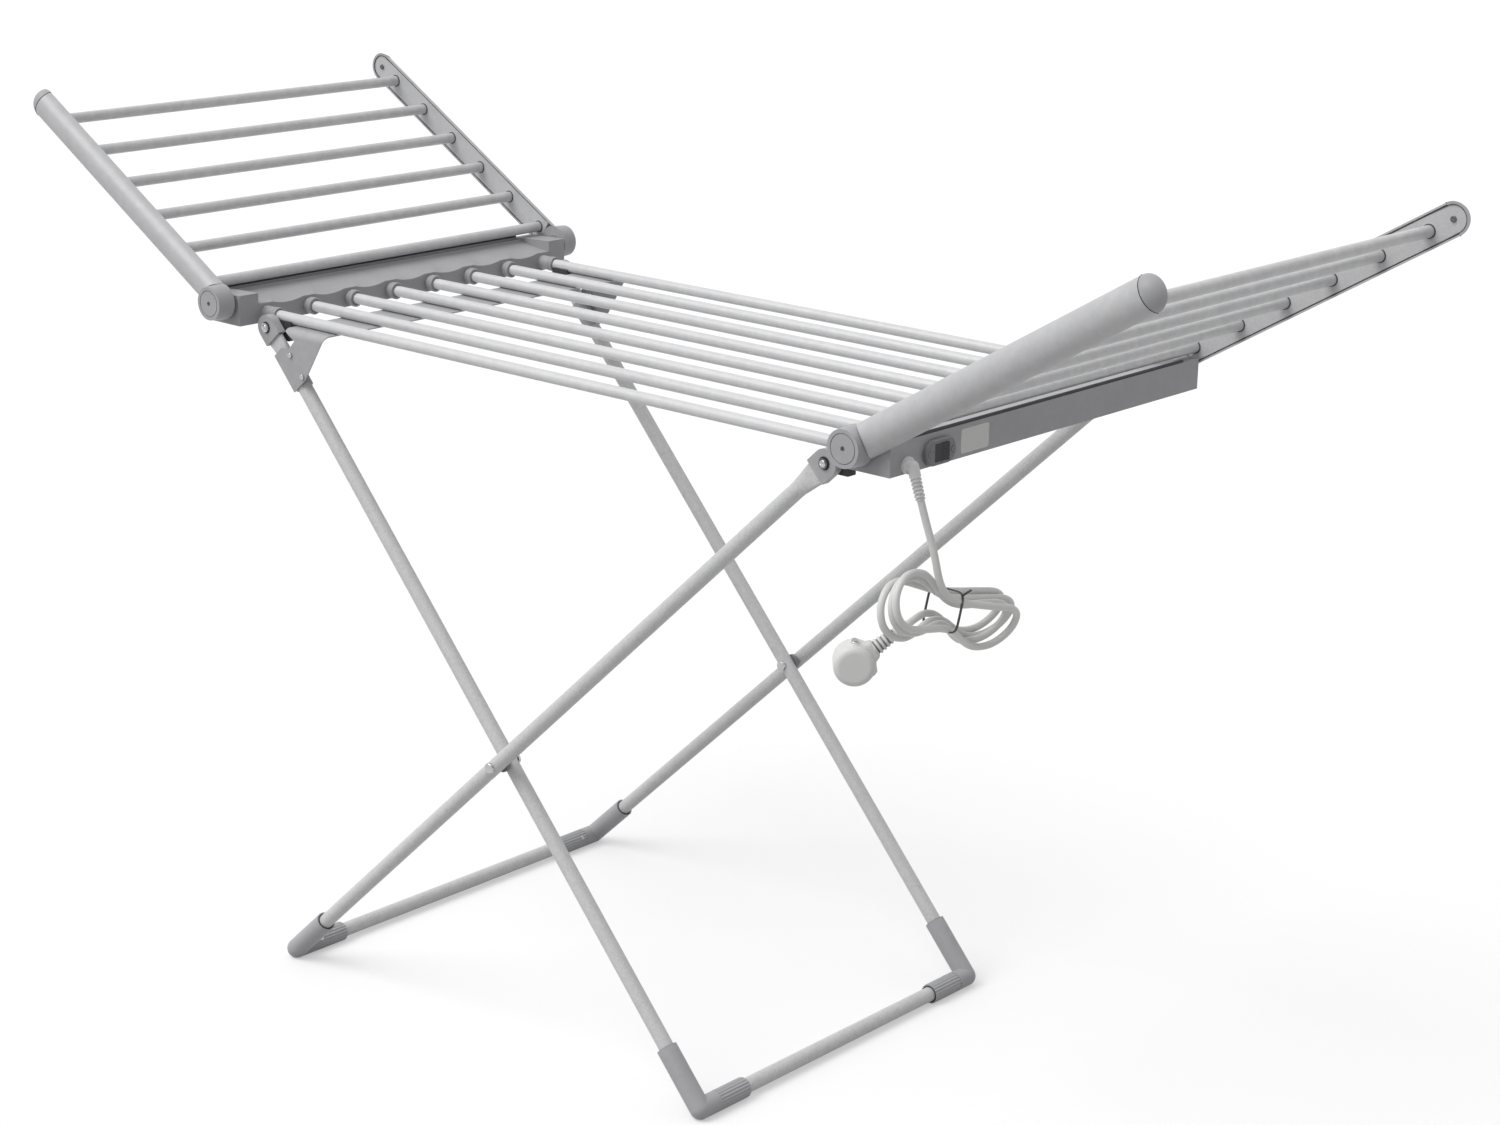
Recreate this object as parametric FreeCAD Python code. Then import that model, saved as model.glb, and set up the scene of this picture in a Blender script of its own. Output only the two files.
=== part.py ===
import FreeCAD, Part
import math
import os

# Folding electric clothes airer: a drying frame of heated bars between two end housings,
# a raised wing at each end, two crossed leg frames and a mains lead tied in a hank.
# Millimetres, +Z up, +X to the end with the switch, origin on the floor under the middle.

V = FreeCAD.Vector

# Drying frame
HUB_X = 439.0                 # wing pivot from the middle
HUB_Z = 742.0                 # wing pivot above the floor
BAR_RADIUS = 6.0
BAR_WALL = 1.0
BAR_COUNT = 8
BAR_PITCH = 59.8
BAR_DROP = 15.0               # main bars below the wing pivots

# End housings, measured from the wing pivot
HOUSING_OUT = 35.0
HOUSING_IN = 22.0
HOUSING_BELOW = 25.0
HOUSING_END_Y = 246.0
END_BLOCK_LENGTH = 26.0
END_BLOCK_TOP = 8.0
LIP_TOP = 6.0
LIP_WIDTH = 4.0
LIP_GROOVE = 3.0
SLOPE_TOP = 3.0               # scooped top at its outer edge
SLOPE_FOOT = -4.0             # scooped top at its inner edge
SLOPE_SAG = 1.2
SCOOP_RADIUS = 80.0
SCOOP_DEPTH = 3.0
HOUSING_WALL = 3.5
GRIP_WALL = 14.0              # wall that holds the bars
CAVITY_TOP = -6.0
END_WALL = 6.0
COVER_THICK = 2.5
COVER_LEDGE = 2.0
COVER_GAP = 0.2
SOCKET_RADIUS = 8.0
SOCKET_OUT = 11.0
SOCKET_RECESS = 3.0           # open ring round the bar at the socket's mouth
SOCKET_RECESS_GAP = 0.9
CORNER_SOCKET_OUT = 22.0
BAR_INSET = 2.0               # bar end inside the housing
FIT = 0.05                    # radial clearance of pressed and glued pieces
RUNNING_FIT = 0.06            # radial clearance of pivots
SCREW_RADIUS = 1.4
SCREW_HEAD_RADIUS = 3.0
SCREW_HEAD = 1.2
POST_RADIUS = 4.0
POST_Y = 150.0
POST_IN = 24.0                # post centre from the outer face

# Wings
WING_ANGLE = 31.0
WING_BAR_COUNT = 6
WING_BAR_FIRST = 30.5         # pivot to the first bar
RAIL_LENGTH = 349.0           # pivot to the centre of the rounded tip
WING_BAR_TIP = 28.5           # last bar to the centre of the tip
RAIL_Y = 250.0                # inner face of the rails
RAIL_HEIGHT = 34.0
RAIL_BULGE = 14.0
RAIL_WALL = 1.8
STRIP_RECESS = 0.8
STRIP_THICK = 3.0
STRIP_GAP = 0.15
BAR_END_CLEAR = 1.5           # bar end to the inside of the rail
HUB_RADIUS = 18.0
HUB_TAPER = 1.5               # wider next to the housing
HUB_FACE_Y = 270.0
HUB_RIM_WIDTH = 3.6
HUB_GROOVE = 0.9
HUB_DIMPLE_RADIUS = 2.4
HUB_DIMPLE = 3.0
HUB_SEAM = 0.2
SPIGOT_LENGTH = 62.0
SPIGOT_HALF = 11.0
PIVOT_RADIUS = 5.0
PIVOT_IN_HUB = 14.0
COLLAR_RADIUS = 9.0
SIDE_GAP = 0.3

# Leg frames, outer one hinged at the switch end, inner one latched at the other end
LEG_RADIUS = 8.0
LEG_WALL = 1.2
OUTER_Y = 240.0
INNER_Y = 220.0
OUTER_TOP_X = 397.7
OUTER_FOOT_X = -360.0
INNER_TOP_X = -396.0
INNER_FOOT_X = 236.0
LEG_TOP_Z = 716.6
TONGUE_WIDTH = 24.0
TONGUE_THICK = 4.0
TONGUE_LENGTH = 17.0
TAPER_LENGTH = 28.0
TAPER_SPREAD = 35.0           # degrees of the round end that match the tongue's edges
INNER_TONGUE_OUT = 3.0        # tongue of the inner leg set outwards from its tube
CAP_RADIUS = 13.5
CAP_LENGTH = 15.5
CAP_THICK = 9.6
CAP_SLOT_GAP = 0.15
BOLT_RADIUS = 3.0
BOLT_HEAD_RADIUS = 5.0
BOLT_HEAD = 2.3
NUT_THICK = 3.0
FOOT_RADIUS = 11.0
FOOT_FLAT = 0.5               # depth of the flat that stands on the floor
FOOT_LEG_SLEEVE = 70.0
FOOT_BAR_SLEEVE = 66.0
FOOT_SEAT = 16.0              # tube end from the corner of the foot
FOOT_RIBS = 20
FOOT_RIB_DEPTH = 0.8
FOOT_PLAIN = 22.0             # corner to the start of the ribs
RIVET_RADIUS = 3.0
RIVET_HEAD_RADIUS = 5.5
RIVET_HEAD = 2.0
SPACER_RADIUS = 9.0
SPACER_GAP = 0.15

# Leg hinge under the switch end
LUG_RADIUS = 11.0
LUG_THICK = 8.4
LUG_GAP = 0.8
HINGE_PLATE = 3.0
HINGE_FOOT = 30.0
HINGE_FOOT_THICK = 3.5
HINGE_PLATE_UP = 16.0

# Brace and latch at the top of the inner leg frame
BRACE_SHEET = 1.5
BRACE_GAP = 0.3
BRACE_BEND = 8.0
BRACE_TOP_LEFT = -364.0
BRACE_TOP_RIGHT = -300.0
BRACE_DEPTH = 68.0
BRACE_RIVET_SHARES = (0.66, 1.07)   # of the brace's depth, down the leg
BRACE_RIVET_SIDE = 15.0       # beside the leg's axis
CLIP_LEFT = -393.0
CLIP_RIGHT = -369.0
CLIP_HALF_WIDTH = 7.0
CLIP_ABOVE = 3.4              # clip ears above the underside of the bar
CLIP_DEPTH = 18.0
CLIP_JAW = 8.0
CLIP_SADDLE_GAP = 0.4
LATCH_PIN_RADIUS = 3.8
LATCH_PIN_GAP = 0.2

# Switch and lead
SWITCH_Y = -178.0
SWITCH_Z = 730.0
BEZEL_LENGTH = 44.0
BEZEL_HEIGHT = 24.0
BEZEL_THICK = 5.0
ROCKER_LENGTH = 18.4
ROCKER_HEIGHT = 16.4
ROCKER_GAP = 0.6
ROCKER_TILT = 7.0
ROCKER_DEPTH = 7.5
ROCKER_VALLEY = 1.5
TRUNNION_RADIUS = 1.5
TRUNNION = 1.3
SWITCH_BODY = 16.0
SWITCH_BODY_WALL = 2.0
EAR_SCREW_Y = 16.5
GLAND_Y = -222.0
GLAND_Z = 725.0
GLAND_RADIUS = 8.0
GLAND_FLANGE = 3.0
GLAND_OUT = 7.0               # cord centre from the housing's outer face
GLAND_NECK_RADIUS = 5.4
GLAND_NECK = 10.0
GLAND_LEAN = V(0.22, 0.12, -0.97)   # the way the cord leaves
TERMINAL_LENGTH = 46.0
TERMINAL_WIDTH = 16.0
TERMINAL_HEIGHT = 11.0
TERMINAL_WELLS = 4
TERMINAL_WELL_RADIUS = 2.2
CUTOUT_RADIUS = 8.0
CUTOUT_HEIGHT = 7.0

# Lead, measured from the point where it leaves the gland
CORD_RADIUS = 3.5
CORD_FIRST_RUN = 35.0
CORD_MIDDLE = V(17.0, 8.8, -67.0)
CORD_LOW = V(20.3, 14.8, -100.0)
HANK_SIDE = 39.8
HANK_BELOW = 130.0
HANK_OUT = 19.8
HANK_TILT_ANGLE = -16.6       # degrees, the long side hangs lower
HANK_HALF = 97.0
HANK_SHIFT = 12.0
HANK_RISE = 53.0
HANK_RISE_CHANGE = -10.0
HANK_WAIST = 0.16
HANK_STEP = 8.0
HANK_SHRINK = 2.0             # shorter by each turn
HANK_FAN_ANGLE = 4.0          # degrees that each turn leans from the last
HANK_FIRST_ANGLE = 72.0       # degrees round the loops
HANK_TURNS = 3
HANK_LAST_ANGLE = -96.0 - 360 * HANK_TURNS
HANK_EASE = 6.0               # rounds the waist of the formula, mm
HANK_NODE_ANGLE = 45.0
TIE_WIDTH = 4.0
TIE_THICK = 1.2
TIE_GAP = 1.8
PLUG_SHIFT = V(-36.9, -33.3, -174.7)
PLUG_RADIUS = 19.5
PLUG_THICK = 26.0
PLUG_FACE = V(-0.66, 0.75, 0)
PLUG_NECK = V(0.485, 0.652, 0.582)  # the way the cord leaves the plug
PLUG_NECK_LENGTH = 18.5
PLUG_NECK_RADIUS = 7.5
PLUG_RIBS = 5
PIN_RADIUS = 2.4
PIN_LENGTH = 19.0
PIN_PITCH = 19.0
WIRE_RADIUS = 1.5
WIRE_GAP = 0.2

# Derived places
BAR_Z = HUB_Z - BAR_DROP
FOOT_Z = FOOT_RADIUS - FOOT_FLAT
BAR_BORE = BAR_RADIUS - BAR_WALL
RAIL_HALF = RAIL_HEIGHT / 2
HOUSING_BOTTOM = HUB_Z - HOUSING_BELOW
FACE_X = HUB_X + HOUSING_OUT
INNER_FACE_X = HUB_X - HOUSING_IN
PARTS = {}


def keep(name, *solids):
    """Store one node made of one or more separate solids."""
    PARTS[name] = solids[0] if len(solids) == 1 else Part.Compound(list(solids))


def rod(start, end, radius):
    """Solid cylinder between two points."""
    axis = end - start
    return Part.makeCylinder(radius, axis.Length, start, axis)


def tube(start, end, radius, wall):
    """Open tube between two points."""
    return rod(start, end, radius).cut(rod(start, end, radius - wall))


def box(low, high):
    """Block between two corners."""
    size = high - low
    return Part.makeBox(size.x, size.y, size.z, low)


def slab(outline, low_y, high_y):
    """Plate with an outline of (x, z) points, between two y planes."""
    points = [V(x, low_y, z) for x, z in outline]
    face = Part.Face(Part.makePolygon(points + points[:1]))
    return face.extrude(V(0, high_y - low_y, 0))


def far(shape):
    """Copy on the far side of the object."""
    return shape.mirror(V(0, 0, 0), V(0, 1, 0))


def other_end(shape):
    """Copy at the other end of the object."""
    return shape.mirror(V(0, 0, 0), V(1, 0, 0))


def both_sides(shape):
    """The near piece and its far copy."""
    return shape, far(shape)


def turned(shape, degrees, centre=V(0, 0, 0), axis=V(0, 1, 0)):
    """Copy turned about an axis."""
    copy = shape.copy()
    copy.rotate(centre, axis, degrees)
    return copy


def moved(shape, offset):
    """Copy moved by an offset."""
    copy = shape.copy()
    copy.translate(offset)
    return copy


# Wings, drawn level with the pivot at the origin and the tip towards +X

def rail_section(wall):
    """D-shaped face of a near rail, inset by a wall, in the plane x = 0."""
    half = RAIL_HALF - wall
    top = V(0, -RAIL_Y, half)
    low = V(0, -RAIL_Y, -half)
    crown = V(0, -RAIL_Y - RAIL_BULGE + wall, 0)
    edges = [Part.Arc(top, crown, low).toShape(), Part.LineSegment(low, top).toShape()]
    return Part.Face(Part.Wire(edges))


def rail_tip():
    """Rounded end of a rail: half of the D turned about the tip's axis."""
    arc = rail_section(0).Edges[0]
    first, last = arc.ParameterRange
    shift = V(RAIL_LENGTH, 0, 0)
    top = arc.valueAt(first) + shift
    crown = arc.valueAt((first + last) / 2) + shift
    quarter = arc.valueAt(first + (last - first) / 4) + shift
    centre = V(RAIL_LENGTH, -RAIL_Y, 0)
    edges = [Part.Arc(top, quarter, crown).toShape(), Part.LineSegment(crown, centre).toShape(),
             Part.LineSegment(centre, top).toShape()]
    return Part.Face(Part.Wire(edges)).revolve(centre, V(0, 1, 0), 180)


def channel_half(depth):
    """Half height inside a rail at a depth from its inner face."""
    half = RAIL_HALF - RAIL_WALL
    bulge = RAIL_BULGE - RAIL_WALL
    radius = (half ** 2 + bulge ** 2) / (2 * bulge)
    return math.sqrt(radius ** 2 - (depth + radius - bulge) ** 2)


def strip_blank(front, grow):
    """Inner strip of a near rail with its rounded tip, from a depth, grown by a clearance."""
    half = channel_half(STRIP_RECESS + STRIP_THICK) - STRIP_GAP + grow
    back = -RAIL_Y - STRIP_RECESS - STRIP_THICK - grow
    plate = box(V(HUB_RADIUS + HUB_TAPER + 2 * HUB_SEAM, back, -half), V(RAIL_LENGTH, front, half))
    tip = rod(V(RAIL_LENGTH, back, 0), V(RAIL_LENGTH, front, 0), half)
    return plate.fuse(tip).removeSplitter()


def wing_bar_places():
    """Distances of the wing bars from the pivot."""
    pitch = (RAIL_LENGTH - WING_BAR_TIP - WING_BAR_FIRST) / (WING_BAR_COUNT - 1)
    return [WING_BAR_FIRST + pitch * k for k in range(WING_BAR_COUNT)]


BAR_END_Y = RAIL_Y + RAIL_BULGE - RAIL_WALL - BAR_END_CLEAR


def wing_pieces():
    """Pieces of the near half of a wing and its bars, as a dictionary of shapes."""
    hub_clear = rod(V(0, -HUB_FACE_Y, 0), V(0, -RAIL_Y + SIDE_GAP, 0), HUB_RADIUS + HUB_TAPER + HUB_SEAM)
    rail = rail_section(0).extrude(V(RAIL_LENGTH, 0, 0))
    channel = rail_section(RAIL_WALL).extrude(V(RAIL_LENGTH, 0, 0))
    rail = rail.cut(channel).cut(hub_clear)

    strip = strip_blank(-RAIL_Y - STRIP_RECESS, 0)
    for place in wing_bar_places():
        strip = strip.cut(rod(V(place, -HUB_FACE_Y, 0), V(place, 0, 0), BAR_RADIUS + FIT))
    screw_start = V(RAIL_LENGTH, -RAIL_Y - STRIP_RECESS, 0)
    screw_end = V(RAIL_LENGTH, -RAIL_Y - RAIL_BULGE + 2 * RAIL_WALL, 0)
    strip = strip.cut(rod(screw_start, screw_end, SCREW_RADIUS + FIT))
    screw = rod(screw_start, screw_end, SCREW_RADIUS)
    screw = screw.fuse(rod(screw_start, screw_start + V(0, SCREW_HEAD, 0), SCREW_HEAD_RADIUS))

    tip = rail_tip().cut(strip_blank(-RAIL_Y, STRIP_GAP))
    tip = tip.cut(rod(screw_start, screw_end, SCREW_RADIUS + FIT))

    hub_inner = V(0, -RAIL_Y - HUB_SEAM, 0)
    hub_outer = V(0, -HUB_FACE_Y, 0)
    hub_length = (hub_outer - hub_inner).Length
    hub = Part.makeCone(HUB_RADIUS + HUB_TAPER, HUB_RADIUS, hub_length, hub_inner, V(0, -1, 0))
    groove_out = HUB_RADIUS - HUB_RIM_WIDTH
    hub = hub.cut(tube(hub_outer, hub_outer + V(0, HUB_GROOVE, 0), groove_out, HUB_GROOVE))
    hub = hub.cut(rod(hub_outer, hub_outer + V(0, HUB_DIMPLE, 0), HUB_DIMPLE_RADIUS))
    hub = hub.cut(rod(hub_inner, hub_inner - V(0, PIVOT_IN_HUB, 0), PIVOT_RADIUS + RUNNING_FIT))
    spigot_front = -RAIL_Y - STRIP_RECESS - STRIP_THICK - STRIP_GAP
    spigot_back = -RAIL_Y - RAIL_BULGE + 2 * RAIL_WALL
    spigot = box(V(HUB_RADIUS / 2, spigot_back, -SPIGOT_HALF), V(SPIGOT_LENGTH, spigot_front, SPIGOT_HALF))
    core = rail_section(RAIL_WALL + STRIP_GAP).extrude(V(RAIL_LENGTH, 0, 0))
    spigot = spigot.common(core)
    for place in wing_bar_places():
        spigot = spigot.cut(rod(V(place, -HUB_FACE_Y, 0), V(place, 0, 0), BAR_RADIUS + SIDE_GAP))
    pivot_clear = rod(hub_inner, hub_inner - V(0, PIVOT_IN_HUB, 0), PIVOT_RADIUS + RUNNING_FIT)
    hub = hub.fuse(spigot.cut(pivot_clear)).removeSplitter()

    bars = []
    wires = []
    for place in wing_bar_places():
        start = V(place, -BAR_END_Y, 0)
        end = V(place, BAR_END_Y, 0)
        bars.append(tube(start, end, BAR_RADIUS, BAR_WALL))
        drop = V(0, 0, WIRE_RADIUS + WIRE_GAP - BAR_BORE)
        wires.append(rod(start + drop, end + drop, WIRE_RADIUS))
    return {"rail": rail, "strip": strip, "tip": tip, "hub": hub, "screw": screw,
            "bars": bars, "wires": wires}


def place_right(shape):
    """Raise a level wing piece and set it on the pivot at the switch end."""
    return moved(turned(shape, -WING_ANGLE), V(HUB_X, 0, HUB_Z))


def place_left(shape):
    """Raise a level wing piece and set it on the pivot at the plain end."""
    return other_end(place_right(shape))


def build_wing(side, place):
    """Both rails, bars and fittings of one wing."""
    pieces = wing_pieces()
    keep(side + "_wing_rail_near", place(pieces["rail"]))
    keep(side + "_wing_rail_far", place(far(pieces["rail"])))
    keep(side + "_wing_strip_near", place(pieces["strip"]))
    keep(side + "_wing_strip_far", place(far(pieces["strip"])))
    keep(side + "_wing_tip_caps", *[place(s) for s in both_sides(pieces["tip"])])
    keep(side + "_wing_hubs", *[place(s) for s in both_sides(pieces["hub"])])
    keep(side + "_wing_screws", *[place(s) for s in both_sides(pieces["screw"])])
    keep(side + "_wing_bars", *[place(s) for s in pieces["bars"]])
    keep(side + "_wing_heating_wires", *[place(s) for s in pieces["wires"]])


# End housings, drawn at the plain end, where inboard is +X

def bar_places():
    """Y places of the main bars, near one first."""
    first = -BAR_PITCH * (BAR_COUNT - 1) / 2
    return [first + BAR_PITCH * k for k in range(BAR_COUNT)]


def socket_out(index):
    """How far a bar socket stands out of the housing: more at the two corners."""
    return CORNER_SOCKET_OUT if index in (0, BAR_COUNT - 1) else SOCKET_OUT


def section_wire(points):
    """Closed line through (across, up) points measured from the left wing pivot."""
    corners = [V(across - HUB_X, 0, up + HUB_Z) for across, up in points]
    return Part.makePolygon(corners + corners[:1])


def scooped_section():
    """Housing section between the end blocks: lip, groove and a sagging slope."""
    below = -HOUSING_BELOW
    slope_out = -HOUSING_OUT + 2 * LIP_WIDTH + LIP_GROOVE
    corner = [(slope_out, SLOPE_TOP), (-HOUSING_OUT + LIP_WIDTH, LIP_GROOVE),
              (-HOUSING_OUT + LIP_WIDTH, LIP_TOP), (-HOUSING_OUT, LIP_TOP),
              (-HOUSING_OUT, below), (HOUSING_IN, below), (HOUSING_IN, SLOPE_FOOT)]
    points = [V(across - HUB_X, 0, up + HUB_Z) for across, up in corner]
    middle = (points[0] + points[-1]) * 0.5 - V(0, 0, SLOPE_SAG)
    edges = [Part.LineSegment(a, b).toShape() for a, b in zip(points, points[1:])]
    edges.append(Part.Arc(points[-1], middle, points[0]).toShape())
    return Part.Face(Part.Wire(edges))


def end_block():
    """Full-height near end of a housing with a rounded inner edge."""
    corners = [(-HOUSING_OUT, -HOUSING_BELOW), (HOUSING_IN, -HOUSING_BELOW),
               (HOUSING_IN, END_BLOCK_TOP), (-HOUSING_OUT + LIP_WIDTH, LIP_TOP), (-HOUSING_OUT, LIP_TOP)]
    block = Part.Face(section_wire(corners)).extrude(V(0, END_BLOCK_LENGTH, 0))
    return moved(block, V(0, -HOUSING_END_Y, 0))


def scoop(place_y):
    """Round scoop that deepens towards the bars."""
    slope_out = -HOUSING_OUT + 2 * LIP_WIDTH + LIP_GROOVE
    low = V(HOUSING_IN - HUB_X, place_y, SLOPE_FOOT - SCOOP_DEPTH + HUB_Z)
    high = V(slope_out - HUB_X, place_y, SLOPE_TOP + HUB_Z)
    along = high - low
    up = V(-along.z, 0, along.x)
    up = up * (-1 if up.z < 0 else 1)
    up.normalize()
    lift = up * SCOOP_RADIUS
    along.normalize()
    return rod(low + lift - along * HOUSING_IN, high + lift, SCOOP_RADIUS)


def post_places():
    """Screw posts of a housing as (x, y)."""
    x = -HUB_X - HOUSING_OUT + POST_IN
    return [(x, -POST_Y), (x, 0), (x, POST_Y)]


def build_housing_blank():
    """Hollow housing with scoops, bar sockets, screw posts and pivot holes."""
    body = scooped_section().extrude(V(0, 2 * HOUSING_END_Y, 0))
    body = moved(body, V(0, -HOUSING_END_Y, 0))
    places = bar_places()
    for a, b in zip(places, places[1:]):
        body = body.cut(scoop((a + b) / 2))
    body = body.fuse([end_block(), far(end_block())])
    for index, y in enumerate(places):
        start = V(-HUB_X + HOUSING_IN - GRIP_WALL, y, BAR_Z)
        end = V(-HUB_X + HOUSING_IN + socket_out(index), y, BAR_Z)
        body = body.fuse(rod(start, end, SOCKET_RADIUS))
    roof = HUB_Z + CAVITY_TOP
    low = V(-HUB_X - HOUSING_OUT + HOUSING_WALL, -HOUSING_END_Y + END_WALL, HOUSING_BOTTOM)
    high = V(-HUB_X + HOUSING_IN - GRIP_WALL, HOUSING_END_Y - END_WALL, roof)
    body = body.cut(box(low, high))
    body = body.cut(cover_blank(COVER_GAP))
    for x, y in post_places():
        base = V(x, y, HOUSING_BOTTOM)
        body = body.fuse(rod(base + V(0, 0, COVER_THICK + COVER_GAP), V(x, y, roof), POST_RADIUS))
        body = body.cut(rod(base, V(x, y, roof - HOUSING_WALL), SCREW_RADIUS + FIT))
    for index, y in enumerate(places):
        start = V(-HUB_X + HOUSING_IN - GRIP_WALL - BAR_INSET, y, BAR_Z)
        body = body.cut(rod(start, V(0, y, BAR_Z), BAR_RADIUS + FIT))
        mouth = V(-HUB_X + HOUSING_IN + socket_out(index) - SOCKET_RECESS, y, BAR_Z)
        body = body.cut(rod(mouth, V(0, y, BAR_Z), BAR_RADIUS + SOCKET_RECESS_GAP))
    for sign in (-1, 1):
        inside = V(-HUB_X, sign * (HOUSING_END_Y - END_WALL), HUB_Z)
        outside = V(-HUB_X, sign * HOUSING_END_Y, HUB_Z)
        body = body.cut(rod(inside, outside, PIVOT_RADIUS + FIT))
    return body.removeSplitter()


def cover_blank(grow):
    """Bottom cover of a housing, grown by a clearance."""
    ledge = HOUSING_WALL - COVER_LEDGE
    end_y = HOUSING_END_Y - END_WALL + COVER_LEDGE + grow
    low = V(-HUB_X - HOUSING_OUT + ledge - grow, -end_y, HOUSING_BOTTOM)
    high = V(-HUB_X + HOUSING_IN - GRIP_WALL + COVER_LEDGE + grow, end_y, HOUSING_BOTTOM + COVER_THICK + grow)
    return box(low, high)


def build_cover():
    """Bottom cover with counterbored screw holes."""
    cover = cover_blank(0)
    for x, y in post_places():
        base = V(x, y, HOUSING_BOTTOM)
        cover = cover.cut(rod(base, base + V(0, 0, COVER_THICK), SCREW_RADIUS + FIT))
        cover = cover.cut(rod(base, base + V(0, 0, SCREW_HEAD), SCREW_HEAD_RADIUS + FIT))
    return cover


def cover_screws():
    """Screws of one bottom cover."""
    screws = []
    for x, y in post_places():
        base = V(x, y, HOUSING_BOTTOM)
        shank = rod(base, V(x, y, HUB_Z + CAVITY_TOP - HOUSING_WALL - SIDE_GAP), SCREW_RADIUS)
        screws.append(shank.fuse(rod(base, base + V(0, 0, SCREW_HEAD), SCREW_HEAD_RADIUS)))
    return screws


def pivot_pin(sign_x, sign_y):
    """Wing pivot with a collar between housing and hub."""
    inner = V(sign_x * HUB_X, sign_y * (HOUSING_END_Y - END_WALL), HUB_Z)
    face = V(sign_x * HUB_X, sign_y * HOUSING_END_Y, HUB_Z)
    collar_end = V(sign_x * HUB_X, sign_y * (RAIL_Y + HUB_SEAM - SIDE_GAP), HUB_Z)
    tip = V(sign_x * HUB_X, sign_y * (RAIL_Y + HUB_SEAM + PIVOT_IN_HUB - SIDE_GAP), HUB_Z)
    return rod(inner, tip, PIVOT_RADIUS).fuse(rod(face, collar_end, COLLAR_RADIUS))


def switch_block(depth, grow):
    """Block behind the switch face, as large as the rocker's pocket grown by a wall."""
    half_y = ROCKER_LENGTH / 2 + ROCKER_GAP + grow
    half_z = ROCKER_HEIGHT / 2 + ROCKER_GAP / 2 + grow
    return box(V(FACE_X - depth, SWITCH_Y - half_y, SWITCH_Z - half_z),
               V(FACE_X + BEZEL_THICK, SWITCH_Y + half_y, SWITCH_Z + half_z))


def build_frame():
    """Housings, covers, main bars and heating wires."""
    blank = build_housing_blank()
    cover = build_cover()
    keep("left_housing", blank)
    keep("left_housing_cover", cover)
    right = other_end(blank)
    opening = switch_block(SWITCH_BODY, SWITCH_BODY_WALL + FIT)
    right = right.cut(opening)
    right = right.cut(rod(V(FACE_X - HOUSING_WALL, GLAND_Y, GLAND_Z), V(FACE_X, GLAND_Y, GLAND_Z),
                          CORD_RADIUS + FIT))
    keep("right_housing", right)
    keep("right_housing_cover", other_end(cover))
    screws = cover_screws()
    keep("housing_screws", *screws, *[other_end(s) for s in screws])
    keep("wing_pivot_pins", *[pivot_pin(sx, sy) for sx in (-1, 1) for sy in (-1, 1)])
    end_x = INNER_FACE_X + GRIP_WALL
    bars = []
    wires = []
    for y in bar_places():
        bars.append(tube(V(-end_x, y, BAR_Z), V(end_x, y, BAR_Z), BAR_RADIUS, BAR_WALL))
        z = BAR_Z - BAR_BORE + WIRE_RADIUS + WIRE_GAP
        wires.append(rod(V(-end_x, y, z), V(end_x, y, z), WIRE_RADIUS))
    keep("main_bars", *bars)
    keep("main_heating_wires", *wires)


# Leg frames

def leg_top(x):
    """Pivot point of a leg in the middle plane."""
    return V(x, 0, LEG_TOP_Z)


def leg_foot(x):
    """Corner of a leg in the middle plane."""
    return V(x, 0, FOOT_Z)


def leg_way(top_x, foot_x):
    """Unit vector down a leg."""
    way = leg_foot(foot_x) - leg_top(top_x)
    way.normalize()
    return way


def leg_crossing():
    """Point where the two leg frames cross, in the middle plane."""
    a = leg_top(OUTER_TOP_X)
    b = leg_top(INNER_TOP_X)
    way_a = leg_way(OUTER_TOP_X, OUTER_FOOT_X)
    way_b = leg_way(INNER_TOP_X, INNER_FOOT_X)
    gap = b - a
    turn = way_a.x * way_b.z - way_a.z * way_b.x
    along = (gap.x * way_b.z - gap.z * way_b.x) / turn
    return a + way_a * along


def oval_wire(flat, width, thick, y, z):
    """Closed section at a height: a flattened tube, or the round tube if flat is false."""
    if flat:
        edge = width / 2 - thick / 2
        corner = V(edge, thick / 2, 0)
        reach = V(width / 2, thick / 2, 0)
    else:
        angle = math.radians(TAPER_SPREAD)
        corner = V(width / 2 * math.cos(angle), width / 2 * math.sin(angle), 0)
        reach = V(width / 2, width / 2, 0)
    centre = V(0, y, z)
    a = centre + V(-corner.x, corner.y, 0)
    b = centre + V(corner.x, corner.y, 0)
    c = centre + V(corner.x, -corner.y, 0)
    d = centre + V(-corner.x, -corner.y, 0)
    right = centre + V(reach.x, 0, 0)
    left = centre - V(reach.x, 0, 0)
    if flat:
        upper = Part.LineSegment(a, b).toShape()
        lower = Part.LineSegment(c, d).toShape()
    else:
        upper = Part.Arc(a, centre + V(0, reach.y, 0), b).toShape()
        lower = Part.Arc(c, centre - V(0, reach.y, 0), d).toShape()
    return Part.Wire([upper, Part.Arc(b, right, c).toShape(), lower, Part.Arc(d, left, a).toShape()])


def round_ended(radius, length, y, thick):
    """Plate with a round top about the pivot, hanging down by a length."""
    top_left = V(-radius, y - thick / 2, 0)
    top_right = V(radius, y - thick / 2, 0)
    crown = V(0, y - thick / 2, radius)
    down = V(0, 0, -length)
    edges = [Part.Arc(top_left, crown, top_right).toShape(),
             Part.LineSegment(top_right, top_right + down).toShape(),
             Part.LineSegment(top_right + down, top_left + down).toShape(),
             Part.LineSegment(top_left + down, top_left).toShape()]
    return Part.Face(Part.Wire(edges)).extrude(V(0, thick, 0))


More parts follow.
